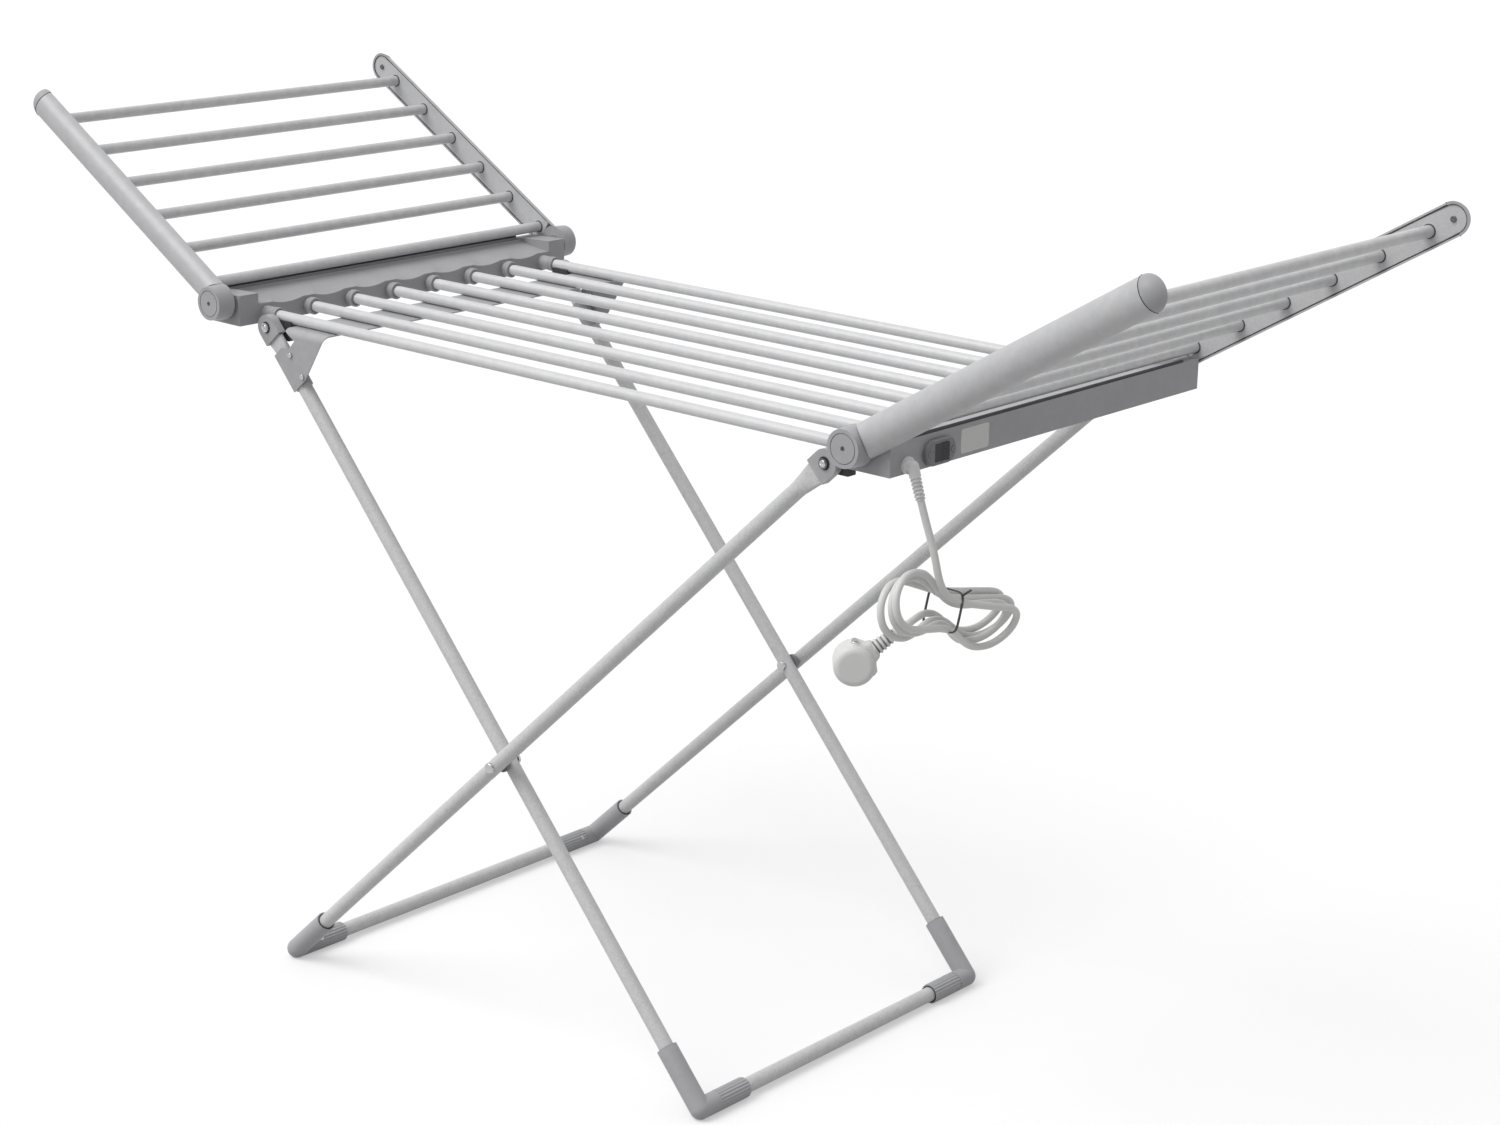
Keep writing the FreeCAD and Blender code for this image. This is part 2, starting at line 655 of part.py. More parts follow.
def hang(shape, top_x, foot_x):
    """Turn a piece drawn hanging from the origin into the line of a leg."""
    way = leg_way(top_x, foot_x)
    angle = math.degrees(math.atan2(-way.x, -way.z))
    return moved(turned(shape, angle), leg_top(top_x))


def leg_tube(top_x, foot_x, y, tongue_y, rivet_hole):
    """Near leg: round tube, taper and flattened tongue with its bolt hole."""
    length = (leg_foot(foot_x) - leg_top(top_x)).Length
    taper_end = -TONGUE_LENGTH - TAPER_LENGTH
    body = tube(V(0, -y, taper_end), V(0, -y, FOOT_SEAT - length), LEG_RADIUS, LEG_WALL)
    taper = Part.makeLoft([oval_wire(True, TONGUE_WIDTH, TONGUE_THICK, -tongue_y, -TONGUE_LENGTH),
                           oval_wire(False, 2 * LEG_RADIUS, 2 * LEG_RADIUS, -y, taper_end)], True, True)
    tongue = round_ended(TONGUE_WIDTH / 2 - TONGUE_THICK / 2, TONGUE_LENGTH, -tongue_y, TONGUE_THICK)
    hole = rod(V(0, -tongue_y - TONGUE_THICK, 0), V(0, -tongue_y + TONGUE_THICK, 0), BOLT_RADIUS + FIT)
    leg = hang(body.fuse([taper, tongue.cut(hole)]), top_x, foot_x)
    cross = leg_crossing()
    leg = leg.cut(rod(cross + V(0, -y - LEG_RADIUS, 0), cross + V(0, -y + LEG_RADIUS, 0), rivet_hole))
    return leg.removeSplitter()


def leg_cap(top_x, foot_x, tongue_y):
    """Plastic cap over the flattened top of a near leg."""
    cap = round_ended(CAP_RADIUS, CAP_LENGTH, -tongue_y, CAP_THICK)
    slot = round_ended(TONGUE_WIDTH / 2 + CAP_SLOT_GAP, CAP_LENGTH, -tongue_y,
                       TONGUE_THICK + 2 * CAP_SLOT_GAP)
    hole = rod(V(0, -tongue_y - CAP_THICK, 0), V(0, -tongue_y + CAP_THICK, 0), BOLT_RADIUS + FIT)
    return hang(cap.cut(slot).cut(hole), top_x, foot_x)


def ribbed_sleeve(start, length):
    """Sleeve along +Y with fine ribs all round."""
    turn = math.pi / FOOT_RIBS
    points = []
    for k in range(2 * FOOT_RIBS):
        radius = FOOT_RADIUS - FOOT_RIB_DEPTH * (k % 2)
        points.append(start + V(radius * math.cos(k * turn), 0, radius * math.sin(k * turn)))
    return Part.Face(Part.makePolygon(points + points[:1])).extrude(V(0, length, 0))


def elbow_foot(top_x, foot_x, y):
    """Near corner foot: a sleeve on the leg, a sleeve on the floor bar and a flat sole."""
    up = leg_way(top_x, foot_x) * -1
    corner = leg_foot(foot_x) + V(0, -y, 0)
    inward = V(0, 1, 0)
    foot = rod(corner, corner + up * FOOT_LEG_SLEEVE, FOOT_RADIUS)
    foot = foot.fuse([Part.makeSphere(FOOT_RADIUS, corner),
                      rod(corner, corner + inward * FOOT_PLAIN, FOOT_RADIUS),
                      ribbed_sleeve(corner + inward * FOOT_PLAIN, FOOT_BAR_SLEEVE - FOOT_PLAIN)])
    foot = foot.cut(rod(corner + up * FOOT_SEAT, corner + up * FOOT_LEG_SLEEVE, LEG_RADIUS + FIT))
    foot = foot.cut(rod(corner + inward * FOOT_SEAT, corner + inward * FOOT_BAR_SLEEVE, LEG_RADIUS + FIT))
    reach = V(FOOT_LEG_SLEEVE, FOOT_BAR_SLEEVE, 0)
    floor = V(corner.x, corner.y, 0)
    return foot.cut(box(floor - reach - V(0, 0, FOOT_RADIUS), floor + reach)).removeSplitter()


def floor_bar(foot_x, y):
    """Bar between the two feet of a leg frame."""
    end = V(0, y - FOOT_SEAT, 0)
    return tube(leg_foot(foot_x) - end, leg_foot(foot_x) + end, LEG_RADIUS, LEG_WALL)


def build_outer_leg():
    """Leg frame hinged at the switch end, with the crossing rivets."""
    legs = OUTER_TOP_X, OUTER_FOOT_X
    near = leg_tube(*legs, OUTER_Y, OUTER_Y, RIVET_RADIUS + FIT)
    keep("outer_leg_near", near)
    keep("outer_leg_far", far(near))
    keep("outer_leg_caps", *both_sides(leg_cap(*legs, OUTER_Y)))
    keep("outer_feet", *both_sides(elbow_foot(*legs, OUTER_Y)))
    keep("outer_floor_bar", floor_bar(OUTER_FOOT_X, OUTER_Y))
    cap_face = OUTER_Y + CAP_THICK / 2
    lug_inner = OUTER_Y - CAP_THICK / 2 - LUG_GAP - LUG_THICK
    top = leg_top(OUTER_TOP_X)
    head_seat = top - V(0, cap_face, 0)
    nut_seat = top - V(0, lug_inner - SIDE_GAP, 0)
    bolt = rod(head_seat, nut_seat, BOLT_RADIUS)
    head = rod(head_seat - V(0, BOLT_HEAD, 0), head_seat, BOLT_HEAD_RADIUS)
    nut = rod(nut_seat, nut_seat + V(0, NUT_THICK, 0), BOLT_HEAD_RADIUS)
    keep("leg_hinge_bolts", *both_sides(bolt.fuse([head, nut])))
    cross = leg_crossing()
    inner_end = cross - V(0, INNER_Y - LEG_RADIUS - SIDE_GAP, 0)
    outer_end = cross - V(0, OUTER_Y + LEG_RADIUS, 0)
    rivet = rod(outer_end, inner_end, RIVET_RADIUS)
    rivet = rivet.fuse([rod(outer_end - V(0, RIVET_HEAD, 0), outer_end, RIVET_HEAD_RADIUS),
                        rod(inner_end, inner_end + V(0, RIVET_HEAD, 0), RIVET_HEAD_RADIUS)])
    keep("crossing_rivets", *both_sides(rivet))
    spacer_start = cross - V(0, OUTER_Y - LEG_RADIUS - SPACER_GAP, 0)
    spacer_end = cross - V(0, INNER_Y + LEG_RADIUS + SPACER_GAP, 0)
    spacer = tube(spacer_start, spacer_end, SPACER_RADIUS, SPACER_RADIUS - RIVET_RADIUS - FIT)
    keep("crossing_spacers", *both_sides(spacer))


def build_inner_leg():
    """Leg frame latched at the plain end, with its brace, clips and pins."""
    legs = INNER_TOP_X, INNER_FOOT_X
    tongue_y = INNER_Y + INNER_TONGUE_OUT
    near = leg_tube(*legs, INNER_Y, tongue_y, RIVET_RADIUS + RUNNING_FIT)
    keep("inner_leg_near", near)
    keep("inner_leg_far", far(near))
    keep("inner_leg_caps", *both_sides(leg_cap(*legs, tongue_y)))
    keep("inner_feet", *both_sides(elbow_foot(*legs, INNER_Y)))
    keep("inner_floor_bar", floor_bar(INNER_FOOT_X, INNER_Y))
    top = leg_top(INNER_TOP_X)
    cap_inner = tongue_y - CAP_THICK / 2
    cap_outer = tongue_y + CAP_THICK / 2
    bolt = rod(top - V(0, cap_outer, 0), top - V(0, cap_inner, 0), BOLT_RADIUS)
    head = rod(top - V(0, cap_outer + BOLT_HEAD, 0), top - V(0, cap_outer, 0), BOLT_HEAD_RADIUS)
    keep("inner_leg_bolts", *both_sides(bolt.fuse(head)))
    brace, rivets = build_brace()
    keep("leg_brace", brace)
    keep("brace_rivets", *rivets)
    clip, pin = build_clip(cap_inner)
    keep("latch_clips", *both_sides(clip))
    keep("latch_pins", *both_sides(pin))


def build_brace():
    """Sheet bracket: a band under the bars with a cut-out cheek on each leg, and its rivets."""
    top = BAR_Z - BAR_RADIUS - BRACE_GAP
    outer = INNER_Y + LEG_RADIUS + BRACE_GAP + BRACE_SHEET
    inner = outer - BRACE_SHEET
    low = top - BRACE_DEPTH
    reach = V(BRACE_DEPTH, 0, 0)
    left = V(BRACE_TOP_LEFT, 0, 0) - reach
    right = V(BRACE_TOP_RIGHT, 0, 0)
    shell = box(left + V(0, -outer, low), right + V(0, outer, top))
    shell = rounded_top(shell, top, BRACE_BEND)
    hollow = box(left + V(0, -inner, low), right + V(0, inner, top - BRACE_SHEET))
    hollow = rounded_top(hollow, top - BRACE_SHEET, BRACE_BEND - BRACE_SHEET)
    shell = shell.cut(hollow)
    way = leg_way(INNER_TOP_X, INNER_FOOT_X)
    side = V(way.z, 0, -way.x)
    axis = leg_top(INNER_TOP_X)
    edge = LEG_RADIUS
    start = axis + way * (TONGUE_LENGTH + TAPER_LENGTH / 2)
    end = axis + way * ((axis.z - low) / -way.z - edge)
    lower_left = end + side * edge
    upper_left = start + side * edge
    upper_right = start - side * edge
    lower_right = end - side * (2 * edge)
    notch_in = upper_right - side * edge + way * edge
    notch_up = V(BRACE_TOP_LEFT + 2 * edge, 0, (notch_in.z + top) / 2)
    outline = [(BRACE_TOP_LEFT, top), (BRACE_TOP_RIGHT, top), (lower_right.x, lower_right.z),
               (lower_left.x, lower_left.z), (upper_left.x, upper_left.z), (upper_right.x, upper_right.z),
               (notch_in.x, notch_in.z), (notch_up.x, notch_up.z), (BRACE_TOP_LEFT, top - 2 * BRACE_SHEET)]
    brace = shell.common(slab(outline, -outer, outer))
    bore = LEG_RADIUS + BRACE_GAP
    for sign in (-1, 1):
        plane = V(0, sign * INNER_Y, 0)
        mouth = axis + way * (TONGUE_LENGTH + TAPER_LENGTH) + plane
        brace = brace.fuse(rod(mouth, end + plane, bore + BRACE_SHEET))
        brace = brace.cut(rod(mouth, end + way * edge + plane, bore))
    rivets = []
    for share in BRACE_RIVET_SHARES:
        spot = axis + way * (share * BRACE_DEPTH) - side * BRACE_RIVET_SIDE
        hole = rod(spot - V(0, outer, 0), spot + V(0, outer, 0), SCREW_RADIUS + FIT)
        brace = brace.cut(hole)
        shank = rod(spot - V(0, outer, 0), spot - V(0, inner, 0), SCREW_RADIUS)
        head = rod(spot - V(0, outer + SCREW_HEAD, 0), spot - V(0, outer, 0), SCREW_HEAD_RADIUS)
        tail = rod(spot - V(0, inner, 0), spot - V(0, inner - SCREW_HEAD, 0), SCREW_HEAD_RADIUS)
        rivets.extend(both_sides(shank.fuse([head, tail])))
    return brace.removeSplitter(), rivets


def rounded_top(block, top, radius):
    """Round the two long top edges of a block."""
    level = [e for e in block.Edges if all(abs(v.Z - top) < FIT for v in e.Vertexes)]
    edges = [e for e in level if abs(e.Vertexes[0].Y - e.Vertexes[1].Y) < FIT]
    return block.makeFillet(radius, edges)


def build_clip(cap_inner):
    """Black latch clip that cups the near corner bar from below, and the pin that carries it."""
    bar_y = bar_places()[0]
    underside = BAR_Z - BAR_RADIUS
    high = underside + CLIP_ABOVE
    low = underside - CLIP_DEPTH
    pin_z = (underside - CLIP_JAW / 2 + low + CLIP_JAW / 2) / 2
    pin_x = CLIP_LEFT + CLIP_JAW
    slot = LATCH_PIN_RADIUS + LATCH_PIN_GAP
    outline = [(CLIP_LEFT, high), (CLIP_RIGHT, high), (CLIP_RIGHT, low + CLIP_JAW / 2),
               (CLIP_RIGHT - CLIP_JAW / 2, low), (CLIP_LEFT + CLIP_JAW / 2, low),
               (CLIP_LEFT + CLIP_JAW / 2, pin_z - slot), (pin_x + slot, pin_z - slot),
               (pin_x + slot, pin_z + slot), (CLIP_LEFT, pin_z + slot)]
    clip = slab(outline, bar_y - CLIP_HALF_WIDTH, bar_y + CLIP_HALF_WIDTH)
    saddle = rod(V(CLIP_LEFT, bar_y, BAR_Z), V(CLIP_RIGHT, bar_y, BAR_Z), BAR_RADIUS + CLIP_SADDLE_GAP)
    clip = clip.cut(saddle)
    pin = rod(V(pin_x, -cap_inner, pin_z), V(pin_x, bar_y + CLIP_HALF_WIDTH, pin_z), LATCH_PIN_RADIUS)
    return clip, pin


def build_leg_hinge():
    """Brackets on the switch housing that carry the outer leg's bolts."""
    lug_outer = OUTER_Y - CAP_THICK / 2 - LUG_GAP
    lug_inner = lug_outer - LUG_THICK
    top = leg_top(OUTER_TOP_X)
    start = top - V(0, lug_outer, 0)
    end = top - V(0, lug_inner, 0)
    back = INNER_FACE_X - HINGE_PLATE
    lug = rod(start, end, LUG_RADIUS)
    arm = box(start - V(0, 0, LUG_RADIUS), V(back, -lug_inner, top.z + LUG_RADIUS))
    plate = box(V(back, -lug_outer, top.z - LUG_RADIUS),
                V(INNER_FACE_X, -lug_inner + HINGE_PLATE, HOUSING_BOTTOM + HINGE_PLATE_UP))
    sole = box(V(back, -lug_outer, HOUSING_BOTTOM - HINGE_FOOT_THICK),
               V(INNER_FACE_X + HINGE_FOOT, -lug_inner + HINGE_PLATE, HOUSING_BOTTOM))
    bracket = lug.fuse([arm, plate, sole])
    bracket = bracket.cut(rod(start, end, BOLT_RADIUS + RUNNING_FIT))
    keep("leg_hinge_brackets", *both_sides(bracket.removeSplitter()))


# Switch, terminals and lead

def racetrack(length, height, thick, x):
    """Plate with round ends on the switch face, growing outwards from x."""
    straight = length / 2 - height / 2
    a = V(x, SWITCH_Y - straight, SWITCH_Z + height / 2)
    b = V(x, SWITCH_Y + straight, SWITCH_Z + height / 2)
    c = V(x, SWITCH_Y + straight, SWITCH_Z - height / 2)
    d = V(x, SWITCH_Y - straight, SWITCH_Z - height / 2)
    edges = [Part.LineSegment(a, b).toShape(),
             Part.Arc(b, V(x, SWITCH_Y + length / 2, SWITCH_Z), c).toShape(),
             Part.LineSegment(c, d).toShape(),
             Part.Arc(d, V(x, SWITCH_Y - length / 2, SWITCH_Z), a).toShape()]
    return Part.Face(Part.Wire(edges)).extrude(V(thick, 0, 0))


def build_switch():
    """Bezel with its body, rocker at rest with one end pressed, and ear screws."""
    front = FACE_X + BEZEL_THICK
    bezel = racetrack(BEZEL_LENGTH, BEZEL_HEIGHT, BEZEL_THICK, FACE_X)
    outer_edges = [e for e in bezel.Edges if all(v.X > FACE_X for v in e.Vertexes)]
    bezel = bezel.makeFillet(BEZEL_THICK / 3, outer_edges)
    face_side = box(V(FACE_X, SWITCH_Y - BEZEL_LENGTH, SWITCH_Z - BEZEL_LENGTH),
                    V(front, SWITCH_Y + BEZEL_LENGTH, SWITCH_Z + BEZEL_LENGTH))
    body = switch_block(SWITCH_BODY, SWITCH_BODY_WALL).cut(face_side)
    pocket = switch_block(SWITCH_BODY - SWITCH_BODY_WALL, 0)
    axis_x = front - ROCKER_VALLEY
    pivot = V(axis_x, SWITCH_Y, SWITCH_Z)
    trunnion_half = ROCKER_HEIGHT / 2 + TRUNNION
    bearing = rod(pivot - V(0, 0, trunnion_half + FIT), pivot + V(0, 0, trunnion_half + FIT),
                  TRUNNION_RADIUS + RUNNING_FIT)
    bezel = bezel.fuse(body).cut(pocket).cut(bearing)
    screws = []
    for sign in (-1, 1):
        seat = V(front, SWITCH_Y + sign * EAR_SCREW_Y, SWITCH_Z)
        bezel = bezel.cut(rod(seat - V(BEZEL_THICK, 0, 0), seat, SCREW_RADIUS + FIT))
        bezel = bezel.cut(rod(seat - V(SCREW_HEAD, 0, 0), seat, SCREW_HEAD_RADIUS + FIT))
        shank = rod(seat - V(BEZEL_THICK, 0, 0), seat, SCREW_RADIUS)
        head = rod(seat - V(SCREW_HEAD, 0, 0), seat - V(SCREW_HEAD / 3, 0, 0), SCREW_HEAD_RADIUS)
        screws.append(shank.fuse(head))
    keep("switch_bezel", bezel.removeSplitter())
    keep("switch_screws", *screws)

    half = ROCKER_LENGTH / 2
    rise = half * math.tan(math.radians(ROCKER_TILT))
    outline = [(-half, ROCKER_VALLEY + rise), (0, ROCKER_VALLEY), (half, ROCKER_VALLEY + rise),
               (half, -ROCKER_DEPTH / 3), (half / 2, -ROCKER_DEPTH), (-half / 2, -ROCKER_DEPTH),
               (-half, -ROCKER_DEPTH / 3)]
    points = [V(axis_x + out, SWITCH_Y + along, SWITCH_Z - ROCKER_HEIGHT / 2) for along, out in outline]
    rocker = Part.Face(Part.makePolygon(points + points[:1])).extrude(V(0, 0, ROCKER_HEIGHT))
    trunnion = V(0, 0, trunnion_half)
    rocker = rocker.fuse(rod(pivot - trunnion, pivot + trunnion, TRUNNION_RADIUS))
    keep("switch_rocker", turned(rocker, -ROCKER_TILT, pivot, V(0, 0, 1)).removeSplitter())


def build_terminals():
    """Terminal block and thermal cut-out inside the switch housing."""
    floor = HOUSING_BOTTOM + COVER_THICK
    x = FACE_X - HOUSING_WALL - SWITCH_BODY - TERMINAL_WIDTH / 2
    block = box(V(x - TERMINAL_WIDTH / 2, -TERMINAL_LENGTH / 2 + POST_Y / 2, floor),
                V(x + TERMINAL_WIDTH / 2, TERMINAL_LENGTH / 2 + POST_Y / 2, floor + TERMINAL_HEIGHT))
    step = TERMINAL_LENGTH / TERMINAL_WELLS
    for k in range(TERMINAL_WELLS):
        well = V(x, POST_Y / 2 - TERMINAL_LENGTH / 2 + step * (k + 0.5), floor + TERMINAL_HEIGHT / 2)
        block = block.cut(rod(well, well + V(0, 0, TERMINAL_HEIGHT / 2), TERMINAL_WELL_RADIUS))
    keep("terminal_block", block)
    base = V(x, -POST_Y / 2, floor)
    can = rod(base, base + V(0, 0, CUTOUT_HEIGHT), CUTOUT_RADIUS)
    tags = box(base - V(CUTOUT_RADIUS / 4, CUTOUT_RADIUS * 1.6, 0),
               base + V(CUTOUT_RADIUS / 4, CUTOUT_RADIUS * 1.6, CUTOUT_HEIGHT / 4))
    keep("thermal_cutout", can.fuse(tags).removeSplitter())


def gland_bend():
    """Point inside the gland where the cord turns down."""
    return V(FACE_X + GLAND_OUT, GLAND_Y, GLAND_Z)


def gland_exit():
    """Point where the cord leaves the gland, on its way down."""
    return gland_bend() + V(GLAND_LEAN).normalize() * GLAND_NECK


def build_gland():
    """Moulded gland: flange on the housing and a neck that turns the cord down."""
    face = V(FACE_X, GLAND_Y, GLAND_Z)
    bend = gland_bend()
    gland = rod(face, face + V(GLAND_FLANGE, 0, 0), GLAND_RADIUS)
    gland = gland.fuse([rod(face, bend, GLAND_NECK_RADIUS), Part.makeSphere(GLAND_NECK_RADIUS, bend),
                        rod(bend, gland_exit(), GLAND_NECK_RADIUS)])
    keep("cord_gland", gland.removeSplitter())


def hank_centre():
    """Middle of the tied waist, in the plane where the cord leaves the gland."""
    return gland_exit() + V(0, HANK_SIDE, -HANK_BELOW)


def hank_place(degrees):
    """Point of the hank's loops at an angle, drawn in at the tied waist."""
    angle = math.radians(degrees)
    turns = (HANK_FIRST_ANGLE - degrees) / 360
    tilt = math.radians(HANK_TILT_ANGLE + HANK_FAN_ANGLE * (turns - HANK_TURNS / 2))
    along = HANK_SHIFT + (HANK_HALF - HANK_SHRINK * turns) * math.cos(angle)
    reach = math.sqrt(along ** 2 + HANK_EASE ** 2) / HANK_HALF
    rise = HANK_RISE + HANK_RISE_CHANGE * math.cos(angle)
    across = rise * math.sin(angle) * (HANK_WAIST + (1 - HANK_WAIST) * reach)
    out = HANK_OUT - HANK_STEP * turns
    return hank_centre() + V(out, along * math.cos(tilt) - across * math.sin(tilt),
                           along * math.sin(tilt) + across * math.cos(tilt))


def hank_heading(degrees):
    """Unit vector along the loops, in the sense that the cord runs."""
    small = 0.01
    heading = hank_place(degrees - small) - hank_place(degrees + small)
    heading.normalize()
    return heading


def biarc(start, start_way, end, end_way):
    """Two tangent arcs between two points with given headings."""
    chord = end - start
    sum_way = start_way + end_way
    a = 2 * (1 - start_way.dot(end_way))
    b = 2 * chord.dot(sum_way)
    c = -chord.dot(chord)
    if abs(a) < 1e-9:
        reach = -c / b
    else:
        reach = (-b + math.sqrt(b * b - 4 * a * c)) / (2 * a)
    joint = (start + start_way * reach + end - end_way * reach) * 0.5
    return [tangent_arc(start, start_way, joint), tangent_arc(end, end_way * -1, joint, True)]


def tangent_arc(start, way, end, backwards=False):
    """Arc from start along a heading to end, or the same arc read from end to start."""
    chord = end - start
    bend = chord - way * chord.dot(way)
    first, last = (end, start) if backwards else (start, end)
    if bend.Length < 1e-4:
        return Part.LineSegment(first, last).toShape()
    bend.normalize()
    radius = chord.dot(chord) / (2 * chord.dot(bend))
    half = math.atan2(chord.dot(bend), chord.dot(way))
    middle = start + way * (radius * math.sin(half)) + bend * (radius * (1 - math.cos(half)))
    return Part.Arc(first, middle, last).toShape()


def cord_route():
    """Corners of the cord from the gland to the hank; the last run heads into the loops."""
    start = gland_exit()
    first = V(GLAND_LEAN).normalize() * CORD_FIRST_RUN
    return [start, start + first, start + CORD_MIDDLE, start + CORD_LOW]


def rounded_path(points):
    """Straight runs joined by the largest tangent arcs that they allow."""
    edges = []
    radii = []
    last = points[0]
    for before, corner, after in zip(points, points[1:], points[2:]):
        into = corner - before
        out = after - corner
        trim = 0.45 * min(into.Length, out.Length)
        turn = into.getAngle(out)
        radii.append(trim / math.tan(turn / 2))
        into.normalize()
        out.normalize()
        start = corner - into * trim
        end = corner + out * trim
        bisector = out - into
        bisector.normalize()
        middle = corner + bisector * (radii[-1] / math.cos(turn / 2) - radii[-1])
        edges.append(Part.LineSegment(last, start).toShape())
        edges.append(Part.Arc(start, middle, end).toShape())
        last = end
    edges.append(Part.LineSegment(last, points[-1]).toShape())
    return edges, radii


def pipe(edges, start, way):
    """Round cord along connected edges."""
    circle = Part.Wire(Part.makeCircle(CORD_RADIUS, start, way))
    return Part.Wire(edges).makePipeShell([circle], True, False)


def plug_centre():
    """Middle of the plug's round body."""
    return gland_exit() + PLUG_SHIFT


def plug_point(along_neck):
    """Point on the plug's cord entry, from the centre of its body."""
    return plug_centre() + V(PLUG_NECK).normalize() * along_neck


def build_cord():
    """Drop, hank, tie and plug."""
    route = cord_route()
    edges, radii = rounded_path(route)
    drop = pipe(edges, route[0], route[1] - route[0])
    keep("power_cord", drop)
    drop_length = sum(e.Length for e in edges)
    print("cord radii", [round(r) for r in radii], "length", round(drop_length),
          "volume share", round(drop.Volume / (math.pi * CORD_RADIUS ** 2 * drop_length), 4))

    way_in = route[-1] - route[-2]
    way_in.normalize()
    way_out = PLUG_NECK * -1
    way_out.normalize()
    entry = route[-1]
    entry_end = entry + way_in * (2 * CORD_RADIUS)
    leave = plug_point(PLUG_RADIUS + PLUG_NECK_LENGTH)
    leave_start = leave - way_out * (2 * CORD_RADIUS)
    first = math.floor(HANK_FIRST_ANGLE / HANK_NODE_ANGLE)
    last = math.ceil(HANK_LAST_ANGLE / HANK_NODE_ANGLE)
    angles = [HANK_NODE_ANGLE * k for k in range(first, last - 1, -1)]
    angles = [HANK_FIRST_ANGLE] + angles + [HANK_LAST_ANGLE]
    stations = [(hank_place(a), hank_heading(a)) for a in angles]
    stations = [(entry_end, way_in)] + stations + [(leave_start, way_out)]
    edges = [Part.LineSegment(entry, entry_end).toShape()]
    for (p, way), (q, next_way) in zip(stations, stations[1:]):
        edges.extend(biarc(p, way, q, next_way))
    edges.append(Part.LineSegment(leave_start, leave).toShape())
    hank = pipe(edges, entry, way_in)
    keep("cord_hank", hank)
    length = sum(e.Length for e in edges)
    print("hank length", round(length),
          "volume share", round(hank.Volume / (math.pi * CORD_RADIUS ** 2 * length), 4),
          "least gap", round(least_gap(edges), 2),
          "tightest", round(min(arc_radius(e) for e in edges), 1))

    keep("cord_tie", build_tie())
    keep("mains_plug", build_plug())


def arc_radius(edge):
    """Radius of an arc edge, or a large value for a straight run."""
    return edge.Curve.Radius if hasattr(edge.Curve, "Radius") else 1e6


def least_gap(edges):
    """Least clear gap of the cord to itself, on points along its path."""
    length = sum(e.Length for e in edges)
    count = round(length / CORD_RADIUS)
    points = Part.Wire(edges).discretize(Number=count + 1)
    apart = round(8 * CORD_RADIUS * count / length)
    least = min((points[i] - points[j]).Length for i in range(count + 1) for j in range(i - apart))
    return least - 2 * CORD_RADIUS


def build_tie():
    """Flat tie round the waist of the hank."""
    along = V(0, math.cos(math.radians(HANK_TILT_ANGLE)), math.sin(math.radians(HANK_TILT_ANGLE)))
    side = V(0, -along.z, along.y)
    centre = hank_centre() - along * (TIE_WIDTH / 2)
    waist = math.degrees(math.acos(-HANK_SHIFT / HANK_HALF))
    turns = [sign * waist - 360 * k for k in range(HANK_TURNS + 1) for sign in (-1, 1)]
    strands = [hank_place(angle) - hank_centre() for angle in turns]
    low = V(min(p.x for p in strands), 0, 0)
    high = V(max(p.x for p in strands), 0, 0)
    rise = side * max(p.dot(side) for p in strands)

    def loop(room):
        corners = [(high + rise, V(1, 0, 0), side), (high - rise, side * -1, V(1, 0, 0)),
                   (low - rise, V(-1, 0, 0), side * -1), (low + rise, side, V(-1, 0, 0))]
        slant = room * math.sqrt(0.5)
        ends = [(centre + at + b * room, centre + at + (a + b) * slant, centre + at + a * room)
                for at, a, b in corners]
        edges = []
        for this, after in zip(ends, ends[1:] + ends[:1]):
            edges.append(Part.Arc(*this).toShape())
            edges.append(Part.LineSegment(this[2], after[0]).toShape())
        return Part.Face(Part.Wire(edges)).extrude(along * TIE_WIDTH)

    inside = CORD_RADIUS + TIE_GAP
    return loop(inside + TIE_THICK).cut(loop(inside))


def build_plug():
    """Round angled plug with a ribbed neck and two pins."""
    face = V(PLUG_FACE).normalize()
    neck = V(PLUG_NECK).normalize()
    back = plug_centre() - face * (PLUG_THICK / 2)
    front = plug_centre() + face * (PLUG_THICK / 2)
    body = rod(back, front, PLUG_RADIUS)
    rims = [e for e in body.Edges if e.isClosed() and (e.CenterOfMass - back).Length < 1]
    body = body.makeFillet(PLUG_THICK / 4, rims)
    neck_reach = PLUG_RADIUS + PLUG_NECK_LENGTH
    cone = Part.makeCone(PLUG_NECK_RADIUS, CORD_RADIUS + 1, neck_reach, plug_centre(), neck)
    step = PLUG_NECK_LENGTH / (2 * PLUG_RIBS + 1)
    for k in range(PLUG_RIBS):
        start = plug_point(PLUG_RADIUS + step * (2 * k + 1))
        ring = tube(start, start + neck * step, PLUG_NECK_RADIUS + 1, PLUG_NECK_RADIUS - CORD_RADIUS)
        cone = cone.cut(ring)
    plug = body.fuse(cone)
    across = face.cross(neck)
    across.normalize()
    for sign in (-1, 1):
        root = front + across * (sign * PIN_PITCH / 2)
        plug = plug.fuse(rod(root - face * PIN_RADIUS, root + face * PIN_LENGTH, PIN_RADIUS))
    return plug.removeSplitter()


build_frame()
build_wing("left", place_left)
build_wing("right", place_right)
build_leg_hinge()
build_outer_leg()
build_inner_leg()
build_switch()
build_terminals()
build_gland()
build_cord()

os.makedirs("parts", exist_ok=True)
for name, shape in PARTS.items():
    if not shape.isValid():
        print("not valid:", name)
    shape.exportStep("parts/" + name + ".step")
print(len(PARTS), "nodes")
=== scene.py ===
import logging
import math
from dataclasses import dataclass, replace
from enum import Enum
from typing import Callable, Optional, Sequence

import bmesh
import bpy
from mathutils import Matrix, Vector


